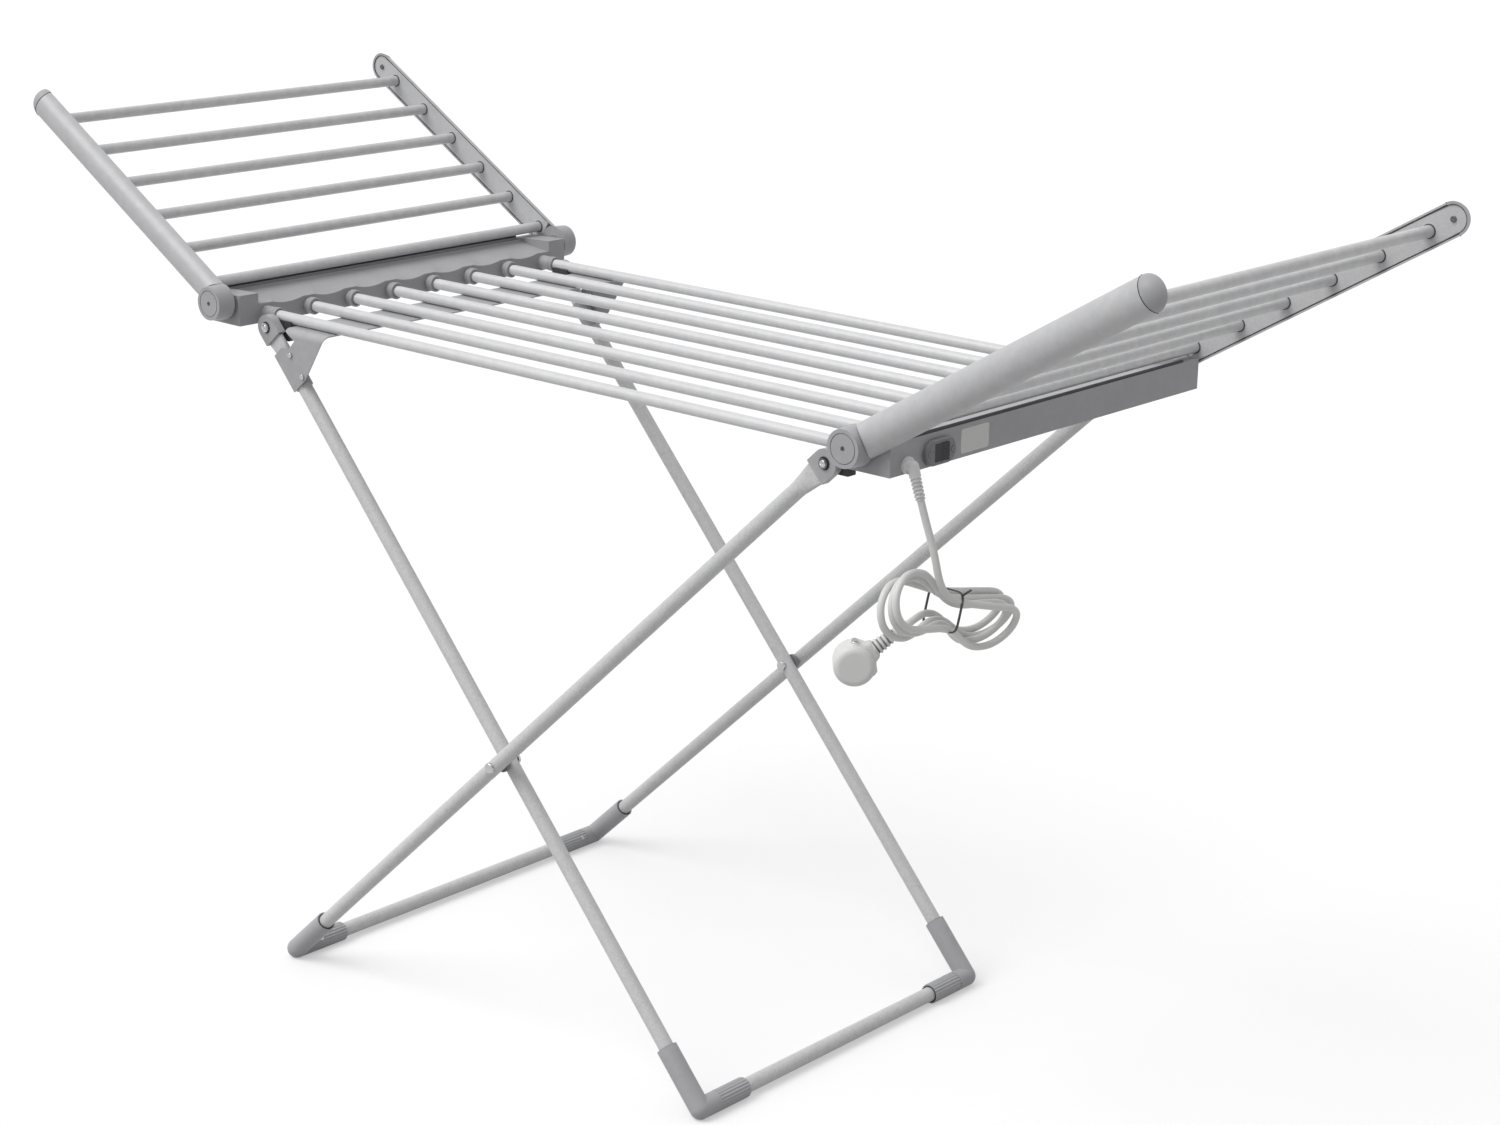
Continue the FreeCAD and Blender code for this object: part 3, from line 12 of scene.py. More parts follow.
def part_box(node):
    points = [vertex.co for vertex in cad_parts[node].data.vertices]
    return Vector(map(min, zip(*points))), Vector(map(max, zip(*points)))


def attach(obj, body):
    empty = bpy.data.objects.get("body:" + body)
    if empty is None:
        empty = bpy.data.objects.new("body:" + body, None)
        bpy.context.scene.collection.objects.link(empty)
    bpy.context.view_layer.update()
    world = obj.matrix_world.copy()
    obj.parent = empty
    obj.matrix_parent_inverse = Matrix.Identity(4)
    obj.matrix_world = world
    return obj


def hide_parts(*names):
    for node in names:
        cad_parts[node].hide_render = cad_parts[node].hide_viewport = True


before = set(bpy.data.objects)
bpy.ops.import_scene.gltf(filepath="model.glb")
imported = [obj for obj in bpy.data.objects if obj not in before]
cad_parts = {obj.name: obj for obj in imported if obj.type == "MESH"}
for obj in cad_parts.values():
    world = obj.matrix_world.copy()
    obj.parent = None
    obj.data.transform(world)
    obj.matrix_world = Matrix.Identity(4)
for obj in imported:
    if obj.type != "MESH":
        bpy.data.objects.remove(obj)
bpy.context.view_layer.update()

LOG = logging.getLogger("airer")
MM = 0.001
Colour = tuple[float, float, float]
Point = tuple[float, float, float]
Pair = tuple[float, float]
Socket = bpy.types.NodeSocket
Draft = bmesh.types.BMesh

X_AXIS = Vector((1.0, 0.0, 0.0))
Y_AXIS = Vector((0.0, 1.0, 0.0))
Z_AXIS = Vector((0.0, 0.0, 1.0))
WHITE = (1.0, 1.0, 1.0, 1.0)

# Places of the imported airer, in millimetres
PIVOT_X = 439.0               # wing pivots from the middle
PIVOT_Z = 742.0
WING_ANGLE = 31.0             # degrees that the wings are raised
HOUSING_IN = 22.0             # wing pivot to the housing's inner face
HOUSING_FACE = 474.0          # outer face of a housing from the middle
FOOT_Z = 10.5                 # middle of the feet above the floor

# Ranges of noise and masks that the effects stretch to 0 and 1
NOISE_BAND = (0.3, 0.7)
EDGE_BAND = (0.52, 0.62)
PATCH_BAND = (0.38, 0.66)
SMUDGE_BAND = (0.42, 0.7)
UPWARD_BAND = (0.2, 1.0)
PATCH_SCALE = 90.0            # cells per metre
SMUDGE_SCALE = 26.0
DUST_COLOUR = (0.62, 0.61, 0.59, 1.0)
DUST_ROUGH = 0.4              # roughness that full dust adds
BUMP_DEPTH = 0.4 * MM


class Body(Enum):
    """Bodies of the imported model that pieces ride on."""

    FRAME = "frame"
    LEFT_WING = "left_wing"
    RIGHT_WING = "right_wing"
    OUTER_LEG = "outer_leg"
    INNER_LEG = "inner_leg"


class Surface(Enum):
    """Kinds of surface detail."""

    MOULDED = "mould_grain"
    POWDER = "powder_speckle"
    DRAWN = "drawn_streaks"


class Sketch:
    """A node tree with short calls for adding and joining nodes."""

    def __init__(self, tree: bpy.types.NodeTree) -> None:
        """Keep the tree."""
        self.tree = tree

    def add(self, kind: str, inputs: Optional[dict] = None, **settings: object) -> bpy.types.Node:
        """Add a node, set it up and feed its inputs.

        Args:
            kind: Node type name.
            inputs: Values or output sockets by input name or number.
            settings: Node properties.

        Returns:
            The new node.
        """
        node = self.tree.nodes.new(kind)
        for key, value in settings.items():
            setattr(node, key, value)
        for key, value in (inputs or {}).items():
            if isinstance(value, bpy.types.NodeSocket):
                self.tree.links.new(value, node.inputs[key])
            else:
                node.inputs[key].default_value = value
        return node

    def math(self, operation: str, first: object, second: object = 0.0, clamp: bool = False) -> Socket:
        """Join two numbers, and if asked keep the result between 0 and 1."""
        node = self.add("ShaderNodeMath", {0: first, 1: second}, operation=operation, use_clamp=clamp)
        return node.outputs[0]

    def weigh(self, *parts: tuple[object, float]) -> Socket:
        """Add values by weight.

        Args:
            parts: Values or sockets, each with its weight.

        Returns:
            The sum's socket.
        """
        total, *others = [self.math("MULTIPLY", value, weight) for value, weight in parts]
        for other in others:
            total = self.math("ADD", total, other)
        return total

    def spread(self, value: Socket, low: float, high: float, to_low: float = 0.0,
               to_high: float = 1.0) -> Socket:
        """Stretch the range of a value from low and high to another range."""
        return self.add("ShaderNodeMapRange", {0: value, 1: low, 2: high, 3: to_low, 4: to_high}).outputs[0]

    def mix(self, factor: object, first: object, second: object) -> Socket:
        """Mix two colours by the share of the second one."""
        return self.add("ShaderNodeMix", {0: factor, 6: first, 7: second}, data_type="RGBA").outputs[2]

    def noise(self, vector: object, scale: object, detail: float = 2.0, rough: float = 0.5) -> Socket:
        """Add a noise texture with a scale in cells per metre."""
        inputs = {"Vector": vector, "Scale": scale, "Detail": detail, "Roughness": rough}
        return self.add("ShaderNodeTexNoise", inputs).outputs[0]


class Effects:
    """Shader node groups that several finishes share."""

    def __init__(self) -> None:
        """Start with no groups drawn."""
        self.drawn: dict[str, bpy.types.NodeTree] = {}

    def group(self, name: str) -> bpy.types.NodeTree:
        """Give a group, drawing it on its first use.

        Args:
            name: Name of one of the drawing methods.

        Returns:
            The node group.
        """
        if name not in self.drawn:
            self.drawn[name] = getattr(self, name)()
        return self.drawn[name]

    def start(self, name: str, inputs: dict[str, float],
              outputs: Sequence[str]) -> tuple[Sketch, bpy.types.Node]:
        """Make an empty group with a place input and named sockets.

        Args:
            name: Group name.
            inputs: Number inputs and their usual values.
            outputs: Number outputs.

        Returns:
            The group's sketch and its input node.
        """
        tree = bpy.data.node_groups.new(name, "ShaderNodeTree")
        tree.interface.new_socket("Vector", in_out="INPUT", socket_type="NodeSocketVector")
        for label, value in inputs.items():
            socket = tree.interface.new_socket(label, in_out="INPUT", socket_type="NodeSocketFloat")
            socket.default_value = value
        for label in outputs:
            tree.interface.new_socket(label, in_out="OUTPUT", socket_type="NodeSocketFloat")
        sketch = Sketch(tree)
        return sketch, sketch.add("NodeGroupInput")

    def scaled_noise(self, sketch: Sketch, given: bpy.types.Node, share: float, detail: float) -> Socket:
        """Add noise at a share of the group's own scale."""
        scale = sketch.math("MULTIPLY", given.outputs["Scale"], share)
        return sketch.noise(given.outputs["Vector"], scale, detail)

    def mould_grain(self) -> bpy.types.NodeTree:
        """Draw the fine spark-eroded grain of moulded plastic, with faint flow clouds."""
        sketch, given = self.start("mould_grain", {"Scale": 1400.0}, ("Tone", "Rough", "Height"))
        fine = sketch.noise(given.outputs["Vector"], given.outputs["Scale"], 3.0, 0.6)
        cloud = self.scaled_noise(sketch, given, 0.012, 3.0)
        flow = self.scaled_noise(sketch, given, 0.09, 2.0)
        grain, drift = sketch.spread(fine, *NOISE_BAND), sketch.spread(cloud, *NOISE_BAND)
        tone = sketch.weigh((grain, 0.45), (drift, 0.55))
        rough = sketch.weigh((fine, 0.5), (flow, 0.5))
        sketch.add("NodeGroupOutput", {"Tone": tone, "Rough": rough, "Height": fine})
        return sketch.tree

    def powder_speckle(self) -> bpy.types.NodeTree:
        """Draw the bright and dull flakes and soft ripple of silver powder coat."""
        sketch, given = self.start("powder_speckle", {"Scale": 1100.0}, ("Tone", "Rough", "Height"))
        flake = sketch.add("ShaderNodeTexVoronoi", {"Vector": given.outputs["Vector"],
                                                    "Scale": given.outputs["Scale"]})
        shade = sketch.add("ShaderNodeSeparateColor", {0: flake.outputs["Color"]}).outputs[0]
        ripple = self.scaled_noise(sketch, given, 0.35, 2.0)
        cloud = self.scaled_noise(sketch, given, 0.02, 2.0)
        tone = sketch.weigh((shade, 0.6), (ripple, 0.32), (cloud, 0.08))
        sketch.add("NodeGroupOutput", {"Tone": tone, "Rough": ripple, "Height": ripple})
        return sketch.tree

    def drawn_streaks(self) -> bpy.types.NodeTree:
        """Draw the fine lines that drawing leaves along a tube; the place comes in stretched."""
        sketch, given = self.start("drawn_streaks", {"Scale": 700.0}, ("Tone", "Rough", "Height"))
        line = sketch.noise(given.outputs["Vector"], given.outputs["Scale"], 4.0, 0.65)
        band = self.scaled_noise(sketch, given, 0.12, 2.0)
        tone = sketch.weigh((sketch.spread(line, *NOISE_BAND), 0.6), (sketch.spread(band, *NOISE_BAND), 0.4))
        sketch.add("NodeGroupOutput", {"Tone": tone, "Rough": band, "Height": line})
        return sketch.tree

    def edge_wear(self) -> bpy.types.NodeTree:
        """Draw a mask of rubbed convex edges, broken up by noise."""
        sketch, given = self.start("edge_wear", {"Amount": 0.3}, ("Mask",))
        bend = sketch.add("ShaderNodeNewGeometry").outputs["Pointiness"]
        edge = sketch.spread(bend, *EDGE_BAND)
        patch = sketch.spread(sketch.noise(given.outputs["Vector"], PATCH_SCALE, 4.0, 0.65), *PATCH_BAND)
        rubbed = sketch.math("MULTIPLY", edge, patch)
        mask = sketch.math("MULTIPLY", rubbed, given.outputs["Amount"], clamp=True)
        sketch.add("NodeGroupOutput", {"Mask": mask})
        return sketch.tree

    def settled_dust(self) -> bpy.types.NodeTree:
        """Draw a thin mask of dust on faces that look up, with small smudges."""
        sketch, given = self.start("settled_dust", {"Amount": 0.1}, ("Mask",))
        normal = sketch.add("ShaderNodeNewGeometry").outputs["Normal"]
        up = sketch.add("ShaderNodeSeparateXYZ", {0: normal}).outputs["Z"]
        smudge = sketch.spread(sketch.noise(given.outputs["Vector"], SMUDGE_SCALE, 5.0, 0.6), *SMUDGE_BAND)
        layer = sketch.math("MULTIPLY", sketch.spread(up, *UPWARD_BAND), smudge)
        mask = sketch.math("MULTIPLY", layer, given.outputs["Amount"], clamp=True)
        sketch.add("NodeGroupOutput", {"Mask": mask})
        return sketch.tree


EFFECTS = Effects()


@dataclass(frozen=True)
class Finish:
    """One finish: its colours, gloss and surface detail.

    Attributes:
        name: Material name.
        slot: Material slot of the record that it stands for; not used.
        surface: Kind of detail.
        light: Colour of the high spots.
        deep: Colour of the low spots.
        worn: Colour of rubbed edges.
        rough: Roughness, lowest and highest.
        metal: Share of metal.
        scale: Cells of the detail per metre.
        relief: Bump strength.
        wear: Strength of the edge wear.
        dust: Strength of the dust.
        stretch: Stretch of the detail along each axis.
        shine: Specular level.
    """

    name: str
    slot: str
    surface: Surface
    light: Colour
    deep: Colour
    worn: Colour
    rough: Pair
    metal: float = 0.0
    scale: float = 1400.0
    relief: float = 0.15
    wear: float = 0.35
    dust: float = 0.12
    stretch: Point = (1.0, 1.0, 1.0)
    shine: float = 0.4

    def material(self) -> bpy.types.Material:
        """Give the finish's material, drawing it on its first use.

        Returns:
            The material.
        """
        known = bpy.data.materials.get(self.name)
        if known is not None:
            return known
        material = bpy.data.materials.new(self.name)
        material.use_nodes = True
        material.node_tree.nodes.clear()
        sketch = Sketch(material.node_tree)
        place = sketch.add("ShaderNodeTexCoord").outputs["Object"]
        detail_place = place
        if self.stretch != (1.0, 1.0, 1.0):
            mapping = sketch.add("ShaderNodeMapping", {"Vector": place, "Scale": self.stretch})
            detail_place = mapping.outputs[0]
        detail = self.effect(sketch, self.surface.value, detail_place, "Scale", self.scale)
        colour = sketch.mix(detail.outputs["Tone"], (*self.deep, 1.0), (*self.light, 1.0))
        wear = self.effect(sketch, "edge_wear", place, "Amount", self.wear)
        colour = sketch.mix(wear.outputs["Mask"], colour, (*self.worn, 1.0))
        dust = self.effect(sketch, "settled_dust", place, "Amount", self.dust)
        colour = sketch.mix(dust.outputs["Mask"], colour, DUST_COLOUR)
        gloss = sketch.spread(detail.outputs["Rough"], *NOISE_BAND, *self.rough)
        dulled = sketch.math("MULTIPLY", dust.outputs["Mask"], DUST_ROUGH)
        gloss = sketch.math("ADD", gloss, dulled, clamp=True)
        bump = sketch.add("ShaderNodeBump", {"Height": detail.outputs["Height"], "Strength": self.relief,
                                             "Distance": BUMP_DEPTH})
        shader = sketch.add("ShaderNodeBsdfPrincipled", {
            "Base Color": colour, "Roughness": gloss, "Metallic": self.metal,
            "Specular IOR Level": self.shine, "Normal": bump.outputs[0]})
        sketch.add("ShaderNodeOutputMaterial", {"Surface": shader.outputs[0]})
        return material

    def effect(self, sketch: Sketch, name: str, place: Socket, label: str, value: float) -> bpy.types.Node:
        """Place a shared effect in the material.

        Args:
            sketch: The material's sketch.
            name: Effect name.
            place: Place socket.
            label: The effect's own number input.
            value: Its value here.

        Returns:
            The group node.
        """
        node = sketch.add("ShaderNodeGroup", node_tree=EFFECTS.group(name))
        sketch.tree.links.new(place, node.inputs["Vector"])
        node.inputs[label].default_value = value
        return node


RAIL = Finish("rail_satin_silver", "rail_silver", Surface.POWDER, (0.52, 0.52, 0.53), (0.46, 0.46, 0.47),
              (0.6, 0.6, 0.61), (0.38, 0.5), metal=0.1, scale=1500.0, relief=0.12, dust=0.04, shine=0.3)
STRIP = Finish("strip_grey", "rail_silver", Surface.POWDER, (0.6, 0.6, 0.61), (0.48, 0.48, 0.49),
               (0.62, 0.62, 0.62), (0.42, 0.56), metal=0.05, scale=900.0, relief=0.2, dust=0.04, shine=0.3)
LEG = Finish("leg_silver_powder", "leg_silver", Surface.POWDER, (0.66, 0.66, 0.66), (0.5, 0.5, 0.51),
             (0.7, 0.7, 0.7), (0.38, 0.52), metal=0.1, scale=800.0, relief=0.22, dust=0.04, shine=0.3)
MAIN_BAR = Finish("main_bar_silver", "bar_aluminium", Surface.DRAWN, (0.66, 0.66, 0.67), (0.58, 0.58, 0.59),
                  (0.75, 0.75, 0.75), (0.34, 0.46), metal=0.1, relief=0.08, stretch=(0.03, 1.0, 1.0),
                  dust=0.03, shine=0.3)
WING_BAR = replace(MAIN_BAR, name="wing_bar_silver", light=(0.6, 0.6, 0.61), deep=(0.53, 0.53, 0.54),
                   stretch=(1.0, 0.03, 1.0))
HOUSING = Finish("housing_grey_plastic", "grey_plastic", Surface.MOULDED, (0.38, 0.38, 0.397),
                 (0.33, 0.33, 0.345), (0.46, 0.46, 0.47), (0.42, 0.56), relief=0.2, dust=0.06)
COVER = Finish("cover_grey_plastic", "dark_plastic", Surface.MOULDED, (0.25, 0.25, 0.26),
               (0.2, 0.2, 0.21), (0.34, 0.34, 0.35), (0.48, 0.62), relief=0.22)
FITTING = Finish("fitting_grey_plastic", "grey_plastic", Surface.MOULDED, (0.42, 0.42, 0.438),
                 (0.36, 0.36, 0.375), (0.5, 0.5, 0.51), (0.4, 0.54), relief=0.2, dust=0.06)
BEZEL = Finish("bezel_grey_plastic", "dark_plastic", Surface.MOULDED, (0.2, 0.2, 0.21), (0.15, 0.15, 0.16),
               (0.34, 0.34, 0.35), (0.4, 0.52), relief=0.16)
BLACK = Finish("black_plastic", "black_plastic", Surface.MOULDED, (0.028, 0.028, 0.03), (0.018, 0.018, 0.02),
               (0.09, 0.09, 0.09), (0.36, 0.5), relief=0.18)
# Near-black finish for dark seam lines and for painted shade: contact shadow round bar ends, shade in gaps
# and in bolt recesses.
SEAM_AND_SHADE = Finish("seam_and_painted_shade", "black_plastic", Surface.MOULDED, (0.06, 0.06, 0.065),
              (0.04, 0.04, 0.045), (0.1, 0.1, 0.1), (0.6, 0.8), relief=0.1)
LIGHT = Finish("gland_white_plastic", "light_plastic", Surface.MOULDED, (0.82, 0.82, 0.82),
               (0.74, 0.74, 0.74), (0.86, 0.86, 0.86), (0.38, 0.5), relief=0.12)
PLUG = Finish("plug_light_plastic", "light_plastic", Surface.MOULDED, (0.76, 0.76, 0.755),
              (0.68, 0.68, 0.675), (0.74, 0.74, 0.74), (0.4, 0.54), relief=0.16)
LEAD = Finish("lead_grey_sheath", "light_plastic", Surface.MOULDED, (0.76, 0.76, 0.75), (0.68, 0.68, 0.67),
              (0.8, 0.8, 0.79), (0.36, 0.48), scale=900.0, relief=0.1)
STICKER = Finish("blank_sticker", "light_plastic", Surface.MOULDED, (0.66, 0.66, 0.65), (0.6, 0.6, 0.59),
                 (0.74, 0.74, 0.73), (0.3, 0.42), relief=0.05, dust=0.3)
STEEL = Finish("bright_plated_steel", "steel", Surface.DRAWN, (0.56, 0.56, 0.57), (0.4, 0.4, 0.41),
               (0.7, 0.7, 0.7), (0.2, 0.34), metal=1.0, relief=0.05, stretch=(1.0, 0.2, 1.0))
# Steel darkened with painted shade, so that screws and bolts read as the dark holes they sit in.
SHADED_STEEL = Finish("steel_darkened_as_hole_shade", "steel", Surface.DRAWN, (0.16, 0.16, 0.165), (0.1, 0.1, 0.105),
                    (0.3, 0.3, 0.3), (0.3, 0.44), metal=0.9, relief=0.05)
WIRE = Finish("heating_wire_red", "heating_wire", Surface.MOULDED, (0.5, 0.16, 0.12), (0.38, 0.11, 0.08),
              (0.58, 0.25, 0.2), (0.5, 0.65), relief=0.1)
TIE = Finish("tie_dark_wire", "black_plastic", Surface.DRAWN, (0.1, 0.1, 0.1), (0.04, 0.04, 0.04),
             (0.2, 0.2, 0.2), (0.35, 0.5), relief=0.1)


def place_piece(name: str, data: bpy.types.ID, body: Body, finish: Finish) -> bpy.types.Object:
    """Make an object, give it its finish and let it ride.

    Args:
        name: Piece name.
        data: Mesh or curve.
        body: Body that it rides on.
        finish: Its finish.

    Returns:
        The object.
    """
    piece = bpy.data.objects.new(name, data)
    bpy.context.scene.collection.objects.link(piece)
    data.materials.append(finish.material())
    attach(piece, body.value)
    LOG.info("piece %s on %s", name, body.value)
    return piece


def mesh_of(name: str, draw: Callable[[Draft], object]) -> bpy.types.Mesh:
    """Make a mesh with a drawing function.

    Args:
        name: Mesh name.
        draw: Function that fills a draft.

    Returns:
        The mesh.
    """
    bm = bmesh.new()
    draw(bm)
    bmesh.ops.recalc_face_normals(bm, faces=bm.faces[:])
    mesh = bpy.data.meshes.new(name)
    bm.to_mesh(mesh)
    bm.free()
    return mesh


def draw_piece(name: str, body: Body, finish: Finish, draw: Callable[[Draft], object]) -> bpy.types.Object:
    """Draw a mesh and place it as a piece of the same name."""
    return place_piece(name, mesh_of(name, draw), body, finish)


def dress(finish: Finish, *nodes: str) -> None:
    """Give carried-over nodes a finish.

    Args:
        finish: The finish.
        nodes: Node names.
    """
    for name in nodes:
        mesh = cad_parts[name].data
        mesh.materials.clear()
        mesh.materials.append(finish.material())
        LOG.info("node %s in %s", name, finish.name)


def turn_to(axis: Vector) -> Matrix:
    """Give the turn that takes Z to an axis."""
    return Z_AXIS.rotation_difference(axis.normalized()).to_matrix().to_4x4()


def lathe_into(bm: Draft, profile: Sequence[Pair], origin: Vector, axis: Vector, segments: int = 32) -> None:
    """Turn a profile round an axis.

    Args:
        bm: Draft to add to.
        profile: Places along the axis and radii, in millimetres; a radius of 0 closes an end.
        origin: Start of the axis, in metres.
        axis: Its direction.
        segments: Sides of a ring.
    """
    matrix = Matrix.Translation(origin) @ turn_to(axis)
    turns = [2.0 * math.pi * k / segments for k in range(segments)]
    rings = []
    for along, radius in profile:
        spots = [(0.0, 0.0)]
        if radius != 0.0:
            spots = [(radius * math.cos(t), radius * math.sin(t)) for t in turns]
        rings.append([bm.verts.new(matrix @ (Vector((x, y, along)) * MM)) for x, y in spots])
    for low, high in zip(rings, rings[1:]):
        for k in range(segments):
            after = (k + 1) % segments
            corners = [low[k % len(low)], low[after % len(low)], high[after % len(high)], high[k % len(high)]]
            unique = list(dict.fromkeys(corners))
            if len(unique) > 2:
                bm.faces.new(unique).smooth = True


def loft_into(bm: Draft, rings: Sequence[Sequence[Vector]]) -> None:
    """Join rings of equal count and close both ends.

    Args:
        bm: Draft to add to.
        rings: Points of each ring, in metres.
    """
    drawn = [[bm.verts.new(p) for p in ring] for ring in rings]
    for low, high in zip(drawn, drawn[1:]):
        for k in range(len(low)):
            after = (k + 1) % len(low)
            bm.faces.new((low[k], low[after], high[after], high[k])).smooth = True
    bm.faces.new(drawn[0])
    bm.faces.new(drawn[-1])


def soft_ring(centre: Vector, right: Vector, up: Vector, power: float = 0.5, count: int = 32) -> list[Vector]:
    """Give a rounded rectangle.

    Args:
        centre: Its middle, in millimetres.
        right: Half its width as a vector.
        up: Half its height as a vector.
        power: 1 for an ellipse, towards 0 for sharp corners.
        count: Number of points.

    Returns:
        Its points, in metres.
    """
    points = []
    for k in range(count):
        turn = 2.0 * math.pi * k / count
        across = math.copysign(abs(math.cos(turn)) ** power, math.cos(turn))
        along = math.copysign(abs(math.sin(turn)) ** power, math.sin(turn))
        points.append((centre + right * across + up * along) * MM)
    return points


def add_line(curve: bpy.types.Curve, path: Sequence[Vector], closed: bool = False) -> None:
    """Add a smooth line to a curve.

    Args:
        curve: Curve to add to.
        path: Control points, in metres.
        closed: Join the line's ends.
    """
    line = curve.splines.new("NURBS")
    line.points.add(len(path) - 1)
    for spot, point in zip(line.points, path):
        spot.co = (*point, 1.0)
    line.order_u = 3
    line.use_endpoint_u = not closed
    line.use_cyclic_u = closed


def wire_curve(name: str, paths: Sequence[Sequence[Vector]], radius: float,
               closed: bool = False) -> bpy.types.Curve:
    """Make thin round lines along control points.

    Args:
        name: Curve name.
        paths: Control points of each line, in metres.
        radius: Radius of the lines, in millimetres.
        closed: Join each line's ends.

    Returns:
        The curve.
    """
    curve = bpy.data.curves.new(name, "CURVE")
    curve.dimensions = "3D"
    curve.bevel_depth = radius * MM
    curve.bevel_resolution = 3
    curve.use_fill_caps = True
    for path in paths:
        add_line(curve, path, closed)
    return curve


def islands(node: str) -> list[tuple[Vector, Vector]]:
    """Find the separate solids of a node.

    Args:
        node: Node name.

    Returns:
        Lowest and highest corner of each solid, in order of X, Y and Z.
    """
    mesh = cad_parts[node].data
    keys = [tuple(round(c, 6) for c in v.co) for v in mesh.vertices]
    parent = {key: key for key in keys}

    def root(key: tuple) -> tuple:
        """Follow a key to the head of its solid."""
        while parent[key] != key:
            parent[key] = parent[parent[key]]
            key = parent[key]
        return key

    for edge in mesh.edges:
        parent[root(keys[edge.vertices[0]])] = root(keys[edge.vertices[1]])
    groups: dict[tuple, list[tuple]] = {}
    for key in parent:
        groups.setdefault(root(key), []).append(key)
    boxes = [(Vector(map(min, zip(*points))), Vector(map(max, zip(*points)))) for points in groups.values()]
    return sorted(boxes, key=lambda b: tuple(round(c, 4) for c in b[0]))


@dataclass(frozen=True)
class ScrewHead:
    """Domed screw head with a cross recess, or a plain rivet dome. Lengths in millimetres.

    Attributes:
        radius: Head radius.
        height: Height of the dome.
        recess: Depth of the cross, or 0 for a rivet.
        rim: Share of the height that the rim has.
        bulge: Power of the dome's curve.
        cross_half: Half the width of the cross, as a share of the radius.
        cross_reach: Reach of the cross, as a share of the radius.
        sunk: How far the skirt reaches into the seat.
    """

    radius: float
    height: float
    recess: float = 0.0
    rim: float = 0.28
    bulge: float = 2.6
    cross_half: float = 0.13
    cross_reach: float = 0.58
    sunk: float = 0.2

    def rise(self, x: float, y: float, share: float) -> float:
        """Give the height of the dome, less the cross.

        Args:
            x: Place as a share of the radius.
            y: Place as a share of the radius.
            share: Distance from the middle as a share of the radius.

        Returns:
            The height above the seat.
        """
        height = self.height * (self.rim + (1.0 - self.rim) * math.sqrt(1.0 - share ** self.bulge))
        narrow, wide = sorted((abs(x), abs(y)))
        if narrow < self.cross_half and wide < self.cross_reach:
            height -= self.recess * (1.0 - 0.5 * wide / self.cross_reach)
        return height

    def draw(self, bm: Draft, seat: Vector, axis: Vector) -> None:
        """Draw the head on a seat.

        Args:
            bm: Draft to add to.
            seat: Middle of the seat, in metres.
            axis: Direction that the head faces.
        """
        matrix = Matrix.Translation(seat) @ turn_to(axis)
        rows, sides = 12, 48
        middle = bm.verts.new(matrix @ Vector((0.0, 0.0, (self.height - self.recess) * MM)))
        before = [middle] * sides
        for row in range(1, rows + 2):
            share = min(row / rows, 1.0)
            ring = []
            for side in range(sides):
                angle = 2.0 * math.pi * side / sides
                x, y = share * math.cos(angle), share * math.sin(angle)
                rise = self.rise(x, y, share) if row <= rows else -self.sunk
                ring.append(bm.verts.new(matrix @ (Vector((x * self.radius, y * self.radius, rise)) * MM)))
            for side in range(sides):
                after = (side + 1) % sides
                corners = list(dict.fromkeys([before[side], ring[side], ring[after], before[after]]))
                bm.faces.new(corners).smooth = True
            before = ring


def head_pieces(name: str, node: str, body: Body, head: ScrewHead, axis: Vector, ends: Sequence[int],
                finish: Finish = STEEL) -> None:
    """Put heads on the ends of a node's solids.

    Args:
        name: Piece name.
        node: Node whose solids carry the heads.
        body: Body of the node.
        head: The head.
        axis: Direction of the solids.
        ends: Signs of the ends that take a head; 0 for the end away from the middle of the airer.
        finish: The heads' finish.
    """
    def draw(bm: Draft) -> None:
        """Draw each head."""
        for low, high in islands(node):
            middle = (low + high) / 2
            half = abs((high - low).dot(axis)) / 2
            for end in ends:
                sign = end or math.copysign(1.0, middle.dot(axis))
                head.draw(bm, middle + axis * (sign * half), axis * sign)

    draw_piece(name, body, finish, draw)


@dataclass(frozen=True)
class PhotoCamera:
    """Camera at the photograph's place, for an image of 1500 by 1125.

    Attributes:
        place: Camera place in metres.
        azimuth: Turn from looking along +Y, in degrees.
        elevation: Degrees that it looks down.
        roll: Degrees of roll.
        focal: Focal length in image pixels.
        width: Image width in pixels.
        sensor: Sensor width in millimetres.
        far: Furthest distance that it shows, in metres.
    """

    place: Point = (2.04799, -2.24042, 1.39367)
    azimuth: float = 41.03
    elevation: float = 16.59
    roll: float = 0.99
    focal: float = 2975.15
    width: float = 1500.0
    sensor: float = 36.0
    far: float = 100.0

    def build(self) -> None:
        """Make the camera and look through it."""
        turn, down, roll = (math.radians(a) for a in (self.azimuth, self.elevation, self.roll))
        forward = Vector((-math.sin(turn) * math.cos(down), math.cos(turn) * math.cos(down), -math.sin(down)))
        level = Vector((math.cos(turn), math.sin(turn), 0.0))
        above = level.cross(forward)
        right = level * math.cos(roll) + above * math.sin(roll)
        up = above * math.cos(roll) - level * math.sin(roll)
        lens = bpy.data.cameras.new("photo_camera")
        lens.sensor_fit = "HORIZONTAL"
        lens.sensor_width = self.sensor
        lens.lens = self.sensor * self.focal / self.width
        lens.clip_end = self.far
        camera = bpy.data.objects.new("photo_camera", lens)
        facing = Matrix((right, up, -forward)).transposed().to_4x4()
        camera.matrix_world = Matrix.Translation(self.place) @ facing
        bpy.context.scene.collection.objects.link(camera)
        bpy.context.scene.camera = camera
        LOG.info("camera at %s", self.place)


